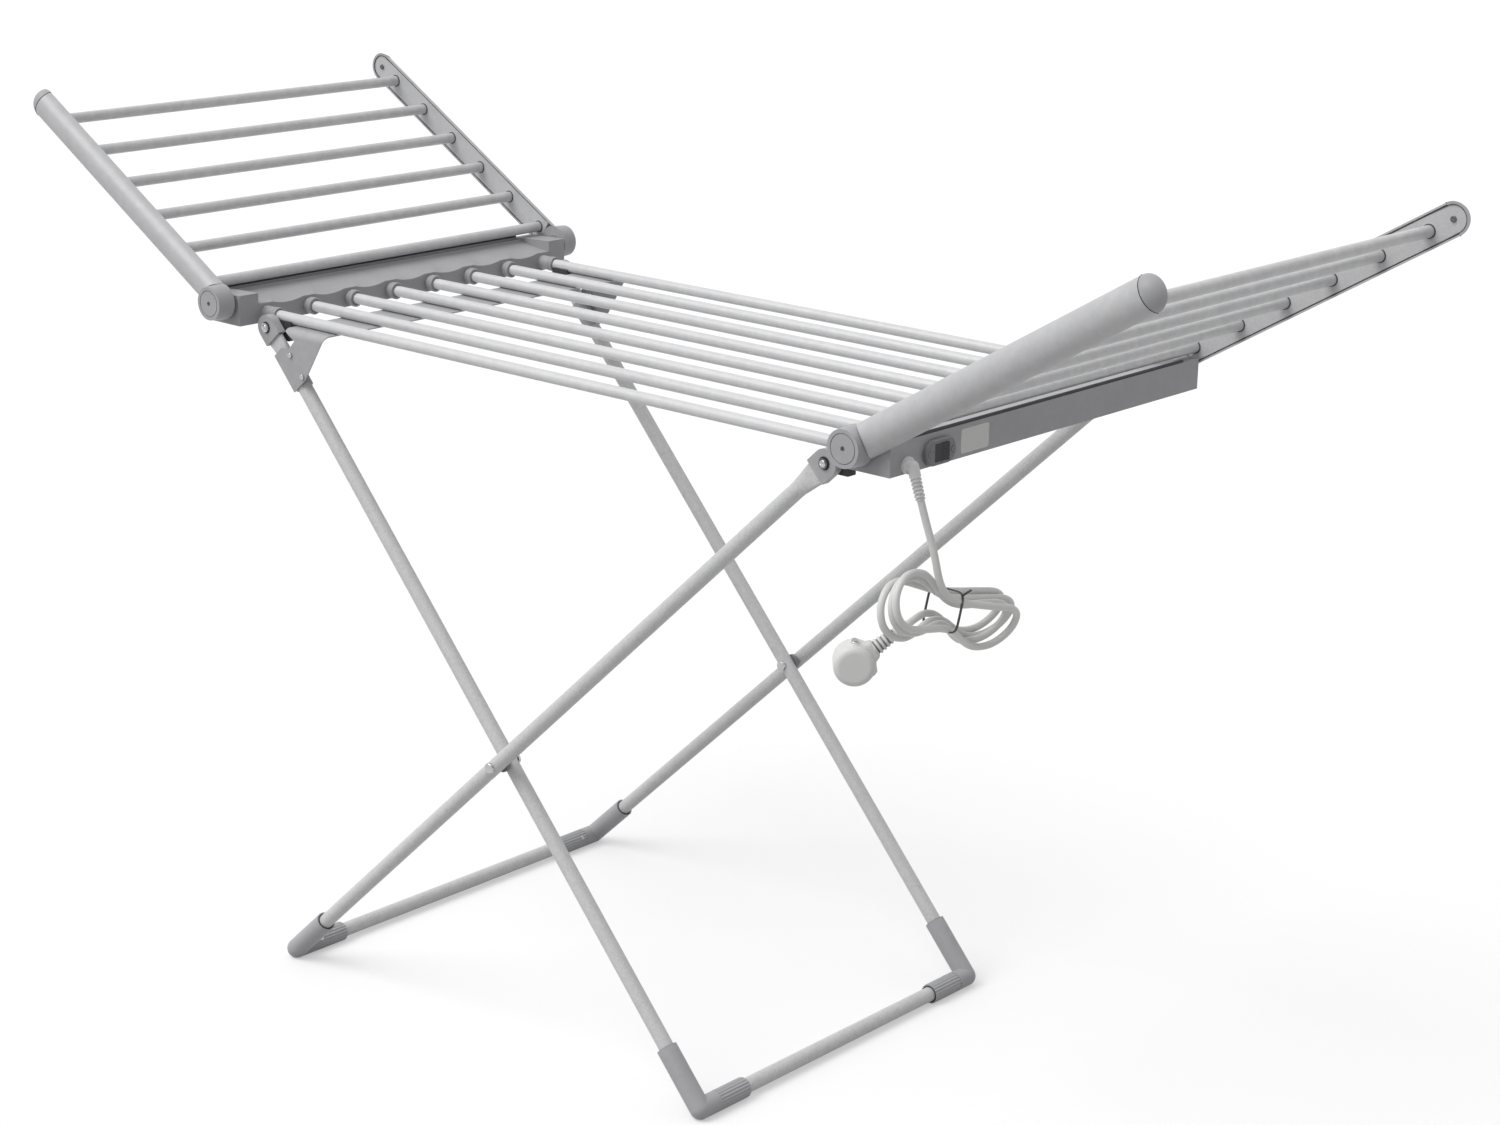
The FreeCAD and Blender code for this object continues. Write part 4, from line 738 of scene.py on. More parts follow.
@dataclass(frozen=True)
class Studio:
    """White sweep and soft light from above.

    Attributes:
        sky: Strength of the light from above.
        horizon: Share of it that comes from the lowest part.
        dim: Loss of that light towards +X.
        key: Share of the key light on a face that looks at it.
        key_from: Direction to the key light.
        key_spread: Angle that the key light covers, in degrees.
        floor_radius: Radius of the floor in metres.
        floor_bounce: Tone of the floor for the light that it throws back.
        floor_tone: Tone of the floor where it is seen.
        floor_glow: Share of plain white in the floor where it is seen.
    """

    sky: float = 0.82
    horizon: float = 0.4
    dim: float = 0.35
    key: float = 0.52
    key_from: Point = (-0.3, -0.55, 0.78)
    key_spread: float = 40.0
    floor_radius: float = 16.0
    floor_bounce: float = 0.42
    floor_tone: float = 0.98
    floor_glow: float = 0.4

    def seen(self, sketch: Sketch) -> Socket:
        """Give 1 for rays that should see white: from the camera, gloss and glass."""
        path = sketch.add("ShaderNodeLightPath").outputs
        shine = sketch.math("MAXIMUM", path["Is Glossy Ray"], path["Is Transmission Ray"])
        return sketch.math("MAXIMUM", path["Is Camera Ray"], shine)

    def build(self) -> None:
        """Set the view, then make the world, the key light and the floor."""
        scene = bpy.context.scene
        scene.view_settings.view_transform = "Standard"
        scene.world = self.world()
        lamp = bpy.data.lights.new("key_light", "SUN")
        lamp.energy = self.key * math.pi
        lamp.angle = math.radians(self.key_spread)
        key = bpy.data.objects.new("key_light", lamp)
        key.matrix_world = turn_to(Vector(self.key_from))
        scene.collection.objects.link(key)
        self.floor()

    def world(self) -> bpy.types.World:
        """Make the soft light from all round, seen as white.

        Returns:
            The world.
        """
        world = bpy.data.worlds.new("studio_world")
        world.use_nodes = True
        world.node_tree.nodes.clear()
        sketch = Sketch(world.node_tree)
        way = sketch.add("ShaderNodeTexCoord").outputs["Generated"]
        parts = sketch.add("ShaderNodeSeparateXYZ", {0: way}).outputs
        rise = sketch.spread(parts["Z"], -0.2, 1.0, self.horizon * self.sky, self.sky)
        aside = sketch.spread(parts["X"], -1.0, 1.0, 1.0 + self.dim, 1.0 - self.dim)
        strength = sketch.math("MULTIPLY", rise, aside)
        light = sketch.add("ShaderNodeBackground", {"Color": WHITE, "Strength": strength}).outputs[0]
        white = sketch.add("ShaderNodeBackground", {"Color": WHITE, "Strength": 1.0}).outputs[0]
        both = sketch.add("ShaderNodeMixShader", {0: self.seen(sketch), 1: light, 2: white})
        sketch.add("ShaderNodeOutputWorld", {"Surface": both.outputs[0]})
        return world

    def floor(self) -> None:
        """Make the pale floor, darker for light that bounces off it."""
        def draw(bm: Draft) -> None:
            """Draw a flat disc."""
            bmesh.ops.create_circle(bm, cap_ends=True, radius=self.floor_radius, segments=96)

        mesh = mesh_of("floor", draw)
        material = bpy.data.materials.new("floor_white")
        material.use_nodes = True
        material.node_tree.nodes.clear()
        sketch = Sketch(material.node_tree)
        seen = self.seen(sketch)
        colour = sketch.mix(seen, (*[self.floor_bounce] * 3, 1.0), (*[self.floor_tone] * 3, 1.0))
        matt = sketch.add("ShaderNodeBsdfDiffuse", {"Color": colour}).outputs[0]
        white = sketch.add("ShaderNodeEmission", {"Color": WHITE, "Strength": 1.0}).outputs[0]
        share = sketch.math("MULTIPLY", seen, self.floor_glow)
        shader = sketch.add("ShaderNodeMixShader", {0: share, 1: matt, 2: white})
        sketch.add("ShaderNodeOutputMaterial", {"Surface": shader.outputs[0]})
        mesh.materials.append(material)
        floor = bpy.data.objects.new("floor", mesh)
        bpy.context.scene.collection.objects.link(floor)


# Control points round a fold, ahead of its middle and above it, as shares of its radius
FOLD_SPOTS = ((-0.85, 0.94), (0.0, 1.0), (0.707, 0.707), (1.0, 0.0), (0.707, -0.707), (0.0, -1.0),
              (-0.85, -0.94))
FOLD_REACH = 0.925            # share of the radius that the lead reaches past a fold's middle


@dataclass(frozen=True)
class Fold:
    """One end of a hank's loop, in millimetres.

    Attributes:
        reach: How far it reaches along the hank.
        lift: How far its middle stands above the hank's line.
        roll: Degrees that it is turned about the hank's line.
        shift: How far its middle stands aside.
        radius: Radius of its control points.
    """

    reach: float
    lift: float
    roll: float
    shift: float = 0.0
    radius: float = 25.5

    def points(self, sign: float) -> list[Point]:
        """Give its control points, in the sense that the lead runs.

        Args:
            sign: 1 for the right end, -1 for the left one.

        Returns:
            Places along the hank, across it and aside.
        """
        middle = self.reach - sign * FOLD_REACH * self.radius
        roll = math.radians(self.roll)
        points = []
        for ahead, rise in FOLD_SPOTS:
            rise *= sign * self.radius
            points.append((middle + sign * self.radius * ahead, self.lift + rise * math.cos(roll),
                           self.shift + rise * math.sin(roll)))
        return points


@dataclass(frozen=True)
class WireTie:
    """Twisted wire round the hank's waist. Lengths in millimetres.

    Attributes:
        aside: Middle of the loop from the middle of the waist, towards +X.
        above: The same across the hank.
        half_width: Half the loop's width.
        half_height: Half its height.
        corner: Roundness of its corners.
        pair: Distance of each of its two loops from the middle.
        wire: Radius of the wire.
        knot: Place of the twist, in shares of the half width and half height.
        lean: Direction of the twisted ends towards +X, across the hank and along it.
        twist_points: Points of a twisted end.
        twist_turn: Turn from point to point, in radians.
        twist_pitch: Length from point to point.
        twist_radius: Radius of the twist.
    """

    aside: float = 6.1
    above: float = -0.5
    half_width: float = 19.4
    half_height: float = 19.3
    corner: float = 0.36
    pair: float = 0.8
    wire: float = 0.7
    knot: Pair = (0.93, 0.86)
    lean: Point = (0.5, 0.7, 0.5)
    twist_points: int = 16
    twist_turn: float = 0.75
    twist_pitch: float = 0.6
    twist_radius: float = 0.75

    def build(self, waist: Vector, along: Vector) -> bpy.types.Object:
        """Make the two loops and the twisted ends.

        Args:
            waist: Middle of the waist.
            along: Direction of the hank.

        Returns:
            The tie.
        """
        side = Vector((0.0, -along.z, along.y))
        centre = waist + X_AXIS * self.aside + side * self.above
        right, up = X_AXIS * self.half_width, side * self.half_height
        loops = [soft_ring(centre + along * shift, right, up, self.corner, count=40)
                 for shift in (-self.pair, self.pair)]
        curve = wire_curve("lead_tie", loops, self.wire, closed=True)
        start = centre + right * self.knot[0] + up * self.knot[1]
        rise = (X_AXIS * self.lean[0] + side * self.lean[1] + along * self.lean[2]).normalized()
        for phase in (0.0, math.pi):
            strand = []
            for k in range(self.twist_points):
                turn = phase + k * self.twist_turn
                round_it = X_AXIS * math.sin(turn) + along * math.cos(turn)
                strand.append((start + rise * (k * self.twist_pitch) + round_it * self.twist_radius) * MM)
            add_line(curve, strand)
        return place_piece("lead_tie", curve, Body.FRAME, TIE)


@dataclass(frozen=True)
class Sleeve:
    """Tapered sleeve with rings. Lengths in millimetres.

    Attributes:
        length: Length of the sleeve.
        wide: Radius at the start.
        slim: Radius at the end.
        rings: Number of rings.
        groove: Depth between rings.
        shares: Ends of a ring, its groove's start and its groove's end, in shares of the pitch.
        ease: How much the next ring's edge is rounded.
        lip: Length of the end's chamfer.
        chamfer: Loss of radius there.
    """

    length: float
    wide: float
    slim: float
    rings: int = 6
    groove: float = 1.5
    shares: Point = (0.5, 0.56, 0.94)
    ease: float = 0.15
    lip: float = 0.8
    chamfer: float = 0.4

    def build(self, name: str, start: Vector, way: Vector, finish: Finish) -> bpy.types.Object:
        """Make the sleeve.

        Args:
            name: Piece name.
            start: Start of the sleeve.
            way: Its direction.
            finish: Its finish.

        Returns:
            The sleeve.
        """
        pitch = self.length / self.rings
        full, drop, climb = self.shares
        profile = [(0.0, 0.0), (0.0, self.wide)]
        for k in range(self.rings):
            radius = self.wide + (self.slim - self.wide) * k / (self.rings - 1)
            along = pitch * k
            profile += [(along + full * pitch, radius), (along + drop * pitch, radius - self.groove),
                        (along + climb * pitch, radius - self.groove), (along + pitch, radius - self.ease)]
        end = self.length + self.lip
        profile += [(end, self.slim - self.chamfer), (end, 0.0)]
        return draw_piece(name, Body.FRAME, finish, lambda bm: lathe_into(bm, profile, start * MM, way))


@dataclass(frozen=True)
class MainsLead:
    """Lead from the gland, tied in a hank, to its plug. Lengths in millimetres.

    Attributes:
        route: Corners from the gland to the hank.
        entry: Corner where the lead turns into the loops.
        centre: Middle of the tied waist.
        tilt: Lean of the hank in degrees.
        rights: Right ends of the loops in turn.
        lefts: Left ends of the loops in turn.
        tops: Upper strands at the tie, across the hank and aside.
        bottoms: Lower strands at the tie.
        out: Place of the first turn across the hank.
        step: Distance between turns.
        right_turn: Share of a turn where a right end starts.
        bottom_turn: Share of a turn at the lower strand.
        left_turn: Share of a turn where a left end starts.
        top_turn: Share of a turn at the upper strand.
        fold_turn: Share of a turn from point to point of an end.
        leave: Point where the lead enters the plug.
        last_run: Length of the last run before it.
        neck: Direction of the plug's neck.
        face: Direction of the plug's pins.
        plug: Middle of the plug's body.
        radius: Radius of the lead.
        length: Length of the lead in metres; not used.
        boot: Strain relief below the gland.
        boot_sunk: How far the boot starts inside the gland.
        neck_start: Start of the plug's neck from the middle of its body.
        neck_sleeve: The neck's ribbed sleeve.
        neck_core: Length of the dark core and its radius at start and end.
        saddle_shape: Places along the neck with half width and half thickness.
        clip_shape: The same for the earth clip, upwards.
        tie: Wire round the waist.
    """

    route: tuple[Point, ...] = ((483.2, -220.8, 715.32), (490.88, -216.61, 681.43), (500.2, -212.0, 648.32),
                                (503.5, -206.0, 615.32))
    entry: Point = (504.3, -189.0, 597.0)
    centre: Point = (483.2, -181.0, 585.32)
    tilt: float = -16.6
    rights: tuple[Fold, ...] = (Fold(101.0, -11.0, 30.0, -4.5), Fold(94.0, -8.0, 32.0, -5.0),
                                Fold(110.0, -4.0, 32.0, -3.5), Fold(103.0, 0.0, 30.0, -2.5))
    lefts: tuple[Fold, ...] = (Fold(-85.0, 5.0, -6.0, radius=26.0), Fold(-79.0, 0.0, -6.0),
                               Fold(-83.0, -6.0, -6.0, radius=26.0))
    tops: tuple[Pair, ...] = ((3.0, -0.5), (8.5, -0.5), (14.0, 0.0))
    bottoms: tuple[Pair, ...] = ((-15.0, 1.0), (-10.0, 0.0), (-6.0, 0.0), (-3.0, -1.0))
    out: float = 19.8
    step: float = 8.0
    right_turn: float = 0.02
    bottom_turn: float = 0.46
    left_turn: float = 0.52
    top_turn: float = 0.96
    fold_turn: float = 0.06
    leave: Point = (464.73, -229.31, 562.74)
    last_run: float = 20.0
    neck: Point = (0.485, 0.652, 0.582)
    face: Point = (-0.6606, 0.7507, 0.0)
    plug: Point = (446.3, -254.1, 540.62)
    radius: float = 3.5
    length: float = 1.72
    boot: Sleeve = Sleeve(22.0, 5.2, 4.9)
    boot_sunk: float = 2.0
    neck_start: float = 21.5
    neck_sleeve: Sleeve = Sleeve(25.0, 7.8, 5.8)
    neck_core: Point = (24.0, 6.6, 4.9)
    saddle_shape: tuple[Point, ...] = ((0.0, 19.2, 12.6), (10.5, 19.0, 12.4), (13.5, 18.0, 11.6),
                                       (15.0, 15.0, 10.4), (17.5, 10.4, 9.0), (22.5, 8.6, 8.0),
                                       (23.5, 7.6, 7.2))
    clip_shape: tuple[Point, ...] = ((18.0, 3.4, 7.0), (21.0, 3.2, 6.6), (22.4, 2.6, 5.8), (22.8, 1.6, 4.6))
    tie: WireTie = WireTie()

    def hank_point(self, along: float, across: float, aside: float, turns: float) -> Vector:
        """Give a point of the hank.

        Args:
            along: Place along the hank.
            across: Place across it, upwards.
            aside: Distance towards +X.
            turns: Turns since the start.

        Returns:
            The point.
        """
        tilt = math.radians(self.tilt)
        return Vector(self.centre) + Vector((self.out - self.step * turns + aside,
                                             along * math.cos(tilt) - across * math.sin(tilt),
                                             along * math.sin(tilt) + across * math.cos(tilt)))

    def fold_points(self, fold: Fold, sign: float, turns: float) -> list[Vector]:
        """Give the control points of one end of a loop.

        Args:
            fold: The end.
            sign: 1 for a right end, -1 for a left one.
            turns: Turns since the start where it starts.

        Returns:
            The points.
        """
        return [self.hank_point(*p, turns + self.fold_turn * k) for k, p in enumerate(fold.points(sign))]

    def loops(self) -> list[Vector]:
        """Give the control points of all turns."""
        points = []
        for turn, right in enumerate(self.rights):
            points += self.fold_points(right, 1.0, turn + self.right_turn)
            points.append(self.hank_point(0.0, *self.bottoms[turn], turn + self.bottom_turn))
            if turn < len(self.lefts):
                points += self.fold_points(self.lefts[turn], -1.0, turn + self.left_turn)
                points.append(self.hank_point(0.0, *self.tops[turn], turn + self.top_turn))
        return points

    def control_points(self) -> list[Vector]:
        """Give the points of the lead's spline, in metres."""
        leave, neck = Vector(self.leave), Vector(self.neck)
        points = [Vector(p) for p in self.route] + [Vector(self.entry)] + self.loops()
        return [p * MM for p in points + [leave + neck * self.last_run, leave]]

    def build(self) -> None:
        """Make the lead, its boot, its tie and the plug's fittings."""
        points = self.control_points()
        curve = wire_curve("mains_lead", [points], self.radius)
        curve.bevel_resolution = 5
        curve.resolution_u = 8
        lead = place_piece("mains_lead", curve, Body.FRAME, LEAD)
        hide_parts("power_cord", "cord_hank")
        start = Vector(self.route[0])
        way = (Vector(self.route[1]) - start).normalized()
        boot = self.boot.build("lead_boot", start - way * self.boot_sunk, way, LIGHT)
        tilt = math.radians(self.tilt)
        tie = self.tie.build(Vector(self.centre), Vector((0.0, math.cos(tilt), math.sin(tilt))))
        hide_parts("cord_tie")
        pieces = [boot, tie, *self.plug_fittings()]

    def plug_fittings(self) -> list[bpy.types.Object]:
        """Make the plug's ribbed neck, its saddle and its earth clip.

        Returns:
            The pieces.
        """
        middle, neck, face = Vector(self.plug), Vector(self.neck).normalized(), Vector(self.face)
        start = middle + neck * self.neck_start
        sleeve = self.neck_sleeve.build("plug_neck_sleeve", start, neck, PLUG)
        length, wide, slim = self.neck_core
        profile = [(0.0, 0.0), (0.0, wide), (length, slim), (length, 0.0)]
        core = draw_piece("plug_neck_core", Body.FRAME, BEZEL,
                          lambda bm: lathe_into(bm, profile, start * MM, neck))
        saddle = self.block("plug_saddle", self.saddle_shape, neck, face.cross(neck), 0.45, PLUG)
        clip = self.block("plug_earth_clip", self.clip_shape, Z_AXIS, Z_AXIS.cross(face), 0.4, STEEL)
        return [sleeve, core, saddle, clip]

    def block(self, name: str, shape: Sequence[Point], way: Vector, side: Vector, corner: float,
              finish: Finish) -> bpy.types.Object:
        """Make a soft block that grows from the middle of the plug.

        Args:
            name: Piece name.
            shape: Places along its direction with half width and half thickness.
            way: Its direction.
            side: Direction of its width.
            corner: Roundness of its corners.
            finish: Its finish.

        Returns:
            The block.
        """
        middle, face = Vector(self.plug), Vector(self.face)
        rings = [soft_ring(middle + way * at, side * wide, face * thick, corner) for at, wide, thick in shape]
        return draw_piece(name, Body.FRAME, finish, lambda bm: loft_into(bm, rings))

    def dress(self) -> None:
        """Finish the gland and the plug."""
        dress(LIGHT, "cord_gland")
        dress(PLUG, "mains_plug")


@dataclass(frozen=True)
class Housings:
    """The two end housings with the main bars between them. Lengths in millimetres.

    Attributes:
        screw: Cover screw head.
        lip_radius: Outer radius of a socket's lip.
        corner_lip_radius: The same at the corner bars, clear of the leg caps beside them.
        lip_width: Width of the lip.
        lip_groove: Place of the groove round it, as a share of the width.
        bore: Radius of the opening in the lip.
        socket_out: How far a socket stands out of the housing.
        corner_socket_out: The same at the corner bars.
        sticker: Middle of the blank sticker, across and up.
        sticker_half: Half its width and height.
        sticker_layers: Distances from the housing's face, and how much is trimmed there.
        gap_shade: Middle of the dark strip of painted gap shade on the housing's lip, from the middle of the
            airer and up.
        gap_shade_half: Half its width and height.
        gap_shade_ends: Distances from the middle towards an end, with the share of the full section.
    """

    screw: ScrewHead = ScrewHead(3.0, 0.9, 0.5)
    lip_radius: float = 9.4
    corner_lip_radius: float = 8.6
    lip_width: float = 8.0
    lip_groove: float = 0.55
    bore: float = 7.3
    socket_out: float = 11.0
    corner_socket_out: float = 22.0
    sticker: Pair = (-122.5, 732.0)
    sticker_half: Pair = (21.0, 11.5)
    sticker_layers: tuple[Pair, ...] = ((-0.1, 0.0), (0.15, 0.0), (0.22, 0.2))
    gap_shade: Pair = (472.1, 749.0)
    gap_shade_half: Pair = (1.5, 1.6)
    gap_shade_ends: tuple[Pair, ...] = ((217.0, 1.0), (219.0, 0.9), (219.6, 0.5))

    def build(self) -> None:
        """Make the socket lips, the cover screws' heads, the blank sticker and the dark strips of painted gap
        shade on the lips.
        """
        mouths = {"left": 1.0, "right": -1.0}
        for side, sign in mouths.items():
            draw_piece(f"{side}_socket_lips", Body.FRAME, HOUSING, lambda bm, s=sign: self.lips(bm, s))
        head_pieces("cover_screw_heads", "housing_screws", Body.FRAME, self.screw, Z_AXIS, (-1,))
        self.blank_sticker()
        for side, sign in mouths.items():
            self.lip_gap_shade(f"{side}_lip_gap_shade", -sign)

    def blank_sticker(self) -> None:
        """Make the bare sticker beside the switch."""
        wide, high = self.sticker_half
        rings = [soft_ring(Vector((HOUSING_FACE + out, *self.sticker)), Y_AXIS * (wide - trim),
                           Z_AXIS * (high - trim), power=0.12, count=48)
                 for out, trim in self.sticker_layers]
        draw_piece("blank_sticker", Body.FRAME, STICKER, lambda bm: loft_into(bm, rings))

    def lip_gap_shade(self, name: str, sign: float) -> None:
        """Make the dark strip of painted shade in the gap along a housing's lip.

        Args:
            name: Piece name.
            sign: Side of the middle along X.
        """
        x, z = self.gap_shade
        wide, high = self.gap_shade_half
        places = [(-y, size) for y, size in reversed(self.gap_shade_ends)] + list(self.gap_shade_ends)
        rings = [soft_ring(Vector((sign * x, y, z)), X_AXIS * (wide * size), Z_AXIS * (high * size))
                 for y, size in places]
        # Dark strip painted as the shade of the gap under the lowest wing bar
        draw_piece(name, Body.FRAME, SEAM_AND_SHADE, lambda bm: loft_into(bm, rings))

    def lips(self, bm: Draft, sign: float) -> None:
        """Draw the rounded lip of each socket of one housing.

        Args:
            bm: Draft to add to.
            sign: 1 for the left housing, -1 for the right one.
        """
        bars = islands("main_bars")
        back, groove, bore = -self.lip_width, -self.lip_groove * self.lip_width, self.bore
        for index, (low, high) in enumerate(sorted(bars, key=lambda b: b[0].y)):
            corner = index in (0, len(bars) - 1)
            reach = self.corner_socket_out if corner else self.socket_out
            rim = self.corner_lip_radius if corner else self.lip_radius
            middle = (low + high) / 2
            mouth = Vector((-sign * (PIVOT_X - HOUSING_IN - reach) * MM, middle.y, middle.z))
            profile = [(back, rim - 0.9), (back + 0.7, rim - 0.2), (groove - 0.5, rim - 0.2),
                       (groove - 0.2, rim - 0.8), (groove + 0.3, rim - 0.8), (groove + 0.7, rim), (-0.7, rim),
                       (-0.1, rim - 0.3), (0.2, rim - 0.9), (0.2, bore + 0.3), (-0.2, bore), (back, bore)]
            lathe_into(bm, profile, mouth, Vector((sign, 0.0, 0.0)))

    def dress(self) -> None:
        """Finish housings, covers, bars and what is inside."""
        dress(HOUSING, "left_housing", "right_housing")
        dress(COVER, "left_housing_cover", "right_housing_cover")
        dress(MAIN_BAR, "main_bars")
        dress(WIRE, "main_heating_wires")
        dress(LIGHT, "terminal_block")
        dress(STEEL, "thermal_cutout", "housing_screws", "wing_pivot_pins")
        dress(BLACK, "leg_hinge_brackets")


@dataclass(frozen=True)
class SwitchUnit:
    """Rocker switch on the face of the right housing.

    Attributes:
        screw: Ear screw head.
    """

    screw: ScrewHead = ScrewHead(2.7, 0.5, 0.4)

    def build(self) -> None:
        """Make the ear screws' heads."""
        # Ear screws darkened with painted shade, to read as dark holes
        head_pieces("switch_screw_heads", "switch_screws", Body.FRAME, self.screw, X_AXIS, (1,), SHADED_STEEL)

    def dress(self) -> None:
        """Finish bezel, rocker and screws."""
        dress(BEZEL, "switch_bezel")
        dress(BLACK, "switch_rocker")
        dress(SHADED_STEEL, "switch_screws")


@dataclass(frozen=True)
class Wing:
    """One raised wing. Lengths in millimetres.

    Attributes:
        side: left or right.
        body: Body of the wing.
        screw: Tip screw head.
        shadow_ring: Inner and outer radius and thickness of the dark ring painted as a bar's contact shadow.
        seam_radius: Radius of the dark line along a seam.
        seam_points: Points of a seam's round stretch.
        strip_face: Inner face of a strip from the middle, where its seam runs.
        strip_half: Half the height of the strip's seam.
        strip_runs: Places of the seam's points along the strip.
        tip: Middle of the rail's round tip from the pivot.
        strip_tip: Radius of the strip's seam round the tip, and its distance from the middle.
        cap_face: Middle of the cap's D-section from the middle.
        cap_radius: Radius of the seam round the cap.
        cap_half: Degrees to each side that this seam covers.
    """

    side: str
    body: Body
    screw: ScrewHead = ScrewHead(2.9, 0.7, 0.45)
    shadow_ring: Point = (6.02, 7.1, 0.7)
    seam_radius: float = 0.5
    seam_points: int = 17
    strip_face: float = 250.9
    strip_half: float = 14.2
    strip_runs: tuple[float, ...] = (24.0, 120.0, 240.0, 330.0)
    tip: float = 349.0
    strip_tip: Pair = (13.9, 250.25)
    cap_face: float = 246.68
    cap_radius: float = 17.25
    cap_half: float = 80.0

    def build(self) -> None:
        """Make the dark rings of painted contact shadow round the bars, the seams and the tip screws' heads.
        """
        for end, sign in (("near", -1.0), ("far", 1.0)):
            # Dark rings of painted contact shadow where the bars enter the strips
            draw_piece(f"{self.side}_wing_grommets_{end}", self.body, SEAM_AND_SHADE,
                       lambda bm, e=end, s=sign: self.shadow_rings(bm, e, s))
            name = f"{self.side}_wing_seam_{end}"
            seams = wire_curve(name, [self.strip_seam(sign), self.tip_seam(sign)], self.seam_radius)
            place_piece(name, seams, self.body, SEAM_AND_SHADE)
        # Tip screws darkened with painted shade, to read as dark holes
        head_pieces(f"{self.side}_wing_screw_heads", f"{self.side}_wing_screws", self.body, self.screw,
                    Y_AXIS, (-1,), SHADED_STEEL)

    def wing_point(self, along: float, across: float, up: float) -> Vector:
        """Give a point of the wing from its pivot.

        Args:
            along: Place along the rails.
            across: Place across the airer.
            up: Place above the rail's middle.

        Returns:
            The point in metres.
        """
        lean = math.radians(WING_ANGLE)
        reach = PIVOT_X + along * math.cos(lean) - up * math.sin(lean)
        sign = 1.0 if self.body is Body.RIGHT_WING else -1.0
        return Vector((sign * reach, across, PIVOT_Z + along * math.sin(lean) + up * math.cos(lean))) * MM

    def arc(self, half: float) -> list[float]:
        """Give evenly spaced angles from minus half to half, in radians."""
        return [math.radians(2.0 * half * k / (self.seam_points - 1) - half) for k in range(self.seam_points)]

    def strip_seam(self, sign: float) -> list[Vector]:
        """Give the dark line round the inner strip.

        Args:
            sign: Side of the middle.

        Returns:
            Points of the line.
        """
        radius, face = self.strip_tip
        sides = [[self.wing_point(along, sign * self.strip_face, up) for along in self.strip_runs]
                 for up in (self.strip_half, -self.strip_half)]
        end = [self.wing_point(self.tip + radius * math.cos(t), sign * face, radius * math.sin(t))
               for t in reversed(self.arc(90.0))]
        return sides[0] + end + sides[1][::-1]

    def tip_seam(self, sign: float) -> list[Vector]:
        """Give the dark line where the tip cap meets the rail.

        Args:
            sign: Side of the middle.

        Returns:
            Points of the line.
        """
        return [self.wing_point(self.tip, sign * (self.cap_face + self.cap_radius * math.cos(t)),
                                self.cap_radius * math.sin(t)) for t in self.arc(self.cap_half)]

    def shadow_rings(self, bm: Draft, end: str, sign: float) -> None:
        """Draw a dark ring round each bar where it enters the strip, painted as the bar's contact shadow.

        Args:
            bm: Draft to add to.
            end: near or far.
            sign: Side of the middle.
        """
        low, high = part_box(f"{self.side}_wing_strip_{end}")
        face = high[1] if sign < 0 else low[1]
        inner, outer, thick = self.shadow_ring
        profile = [(-0.2, inner), (-0.2, outer), (thick * 0.6, outer), (thick, outer - 0.3),
                   (thick, inner + 0.2), (thick * 0.7, inner), (-0.2, inner)]
        for low, high in islands(f"{self.side}_wing_bars"):
            middle = (low + high) / 2
            lathe_into(bm, profile, Vector((middle.x, face, middle.z)), Vector((0.0, -sign, 0.0)))

    def dress(self) -> None:
        """Finish the wing's nodes."""
        head = f"{self.side}_wing_"
        dress(RAIL, head + "rail_near", head + "rail_far")
        dress(STRIP, head + "strip_near", head + "strip_far")
        dress(FITTING, head + "tip_caps", head + "hubs")
        dress(SHADED_STEEL, head + "screws")
        dress(WING_BAR, head + "bars")
        dress(WIRE, head + "heating_wires")


@dataclass(frozen=True)
class LegFrame:
    """Places on one leg frame, in millimetres.

    Attributes:
        name: outer or inner.
        body: Body of the frame.
        bolts: Node of its top bolts.
        foot_x: X of its feet.
        tube_y: Distance of its tubes from the middle.
        screw_y: Distance of its foot screws from the middle.
        up: Direction of its tubes, upwards.
        facing: Direction along X that the foot screws face.
    """

    name: str
    body: Body
    bolts: str
    foot_x: float
    tube_y: float
    screw_y: float
    up: Point
    facing: float


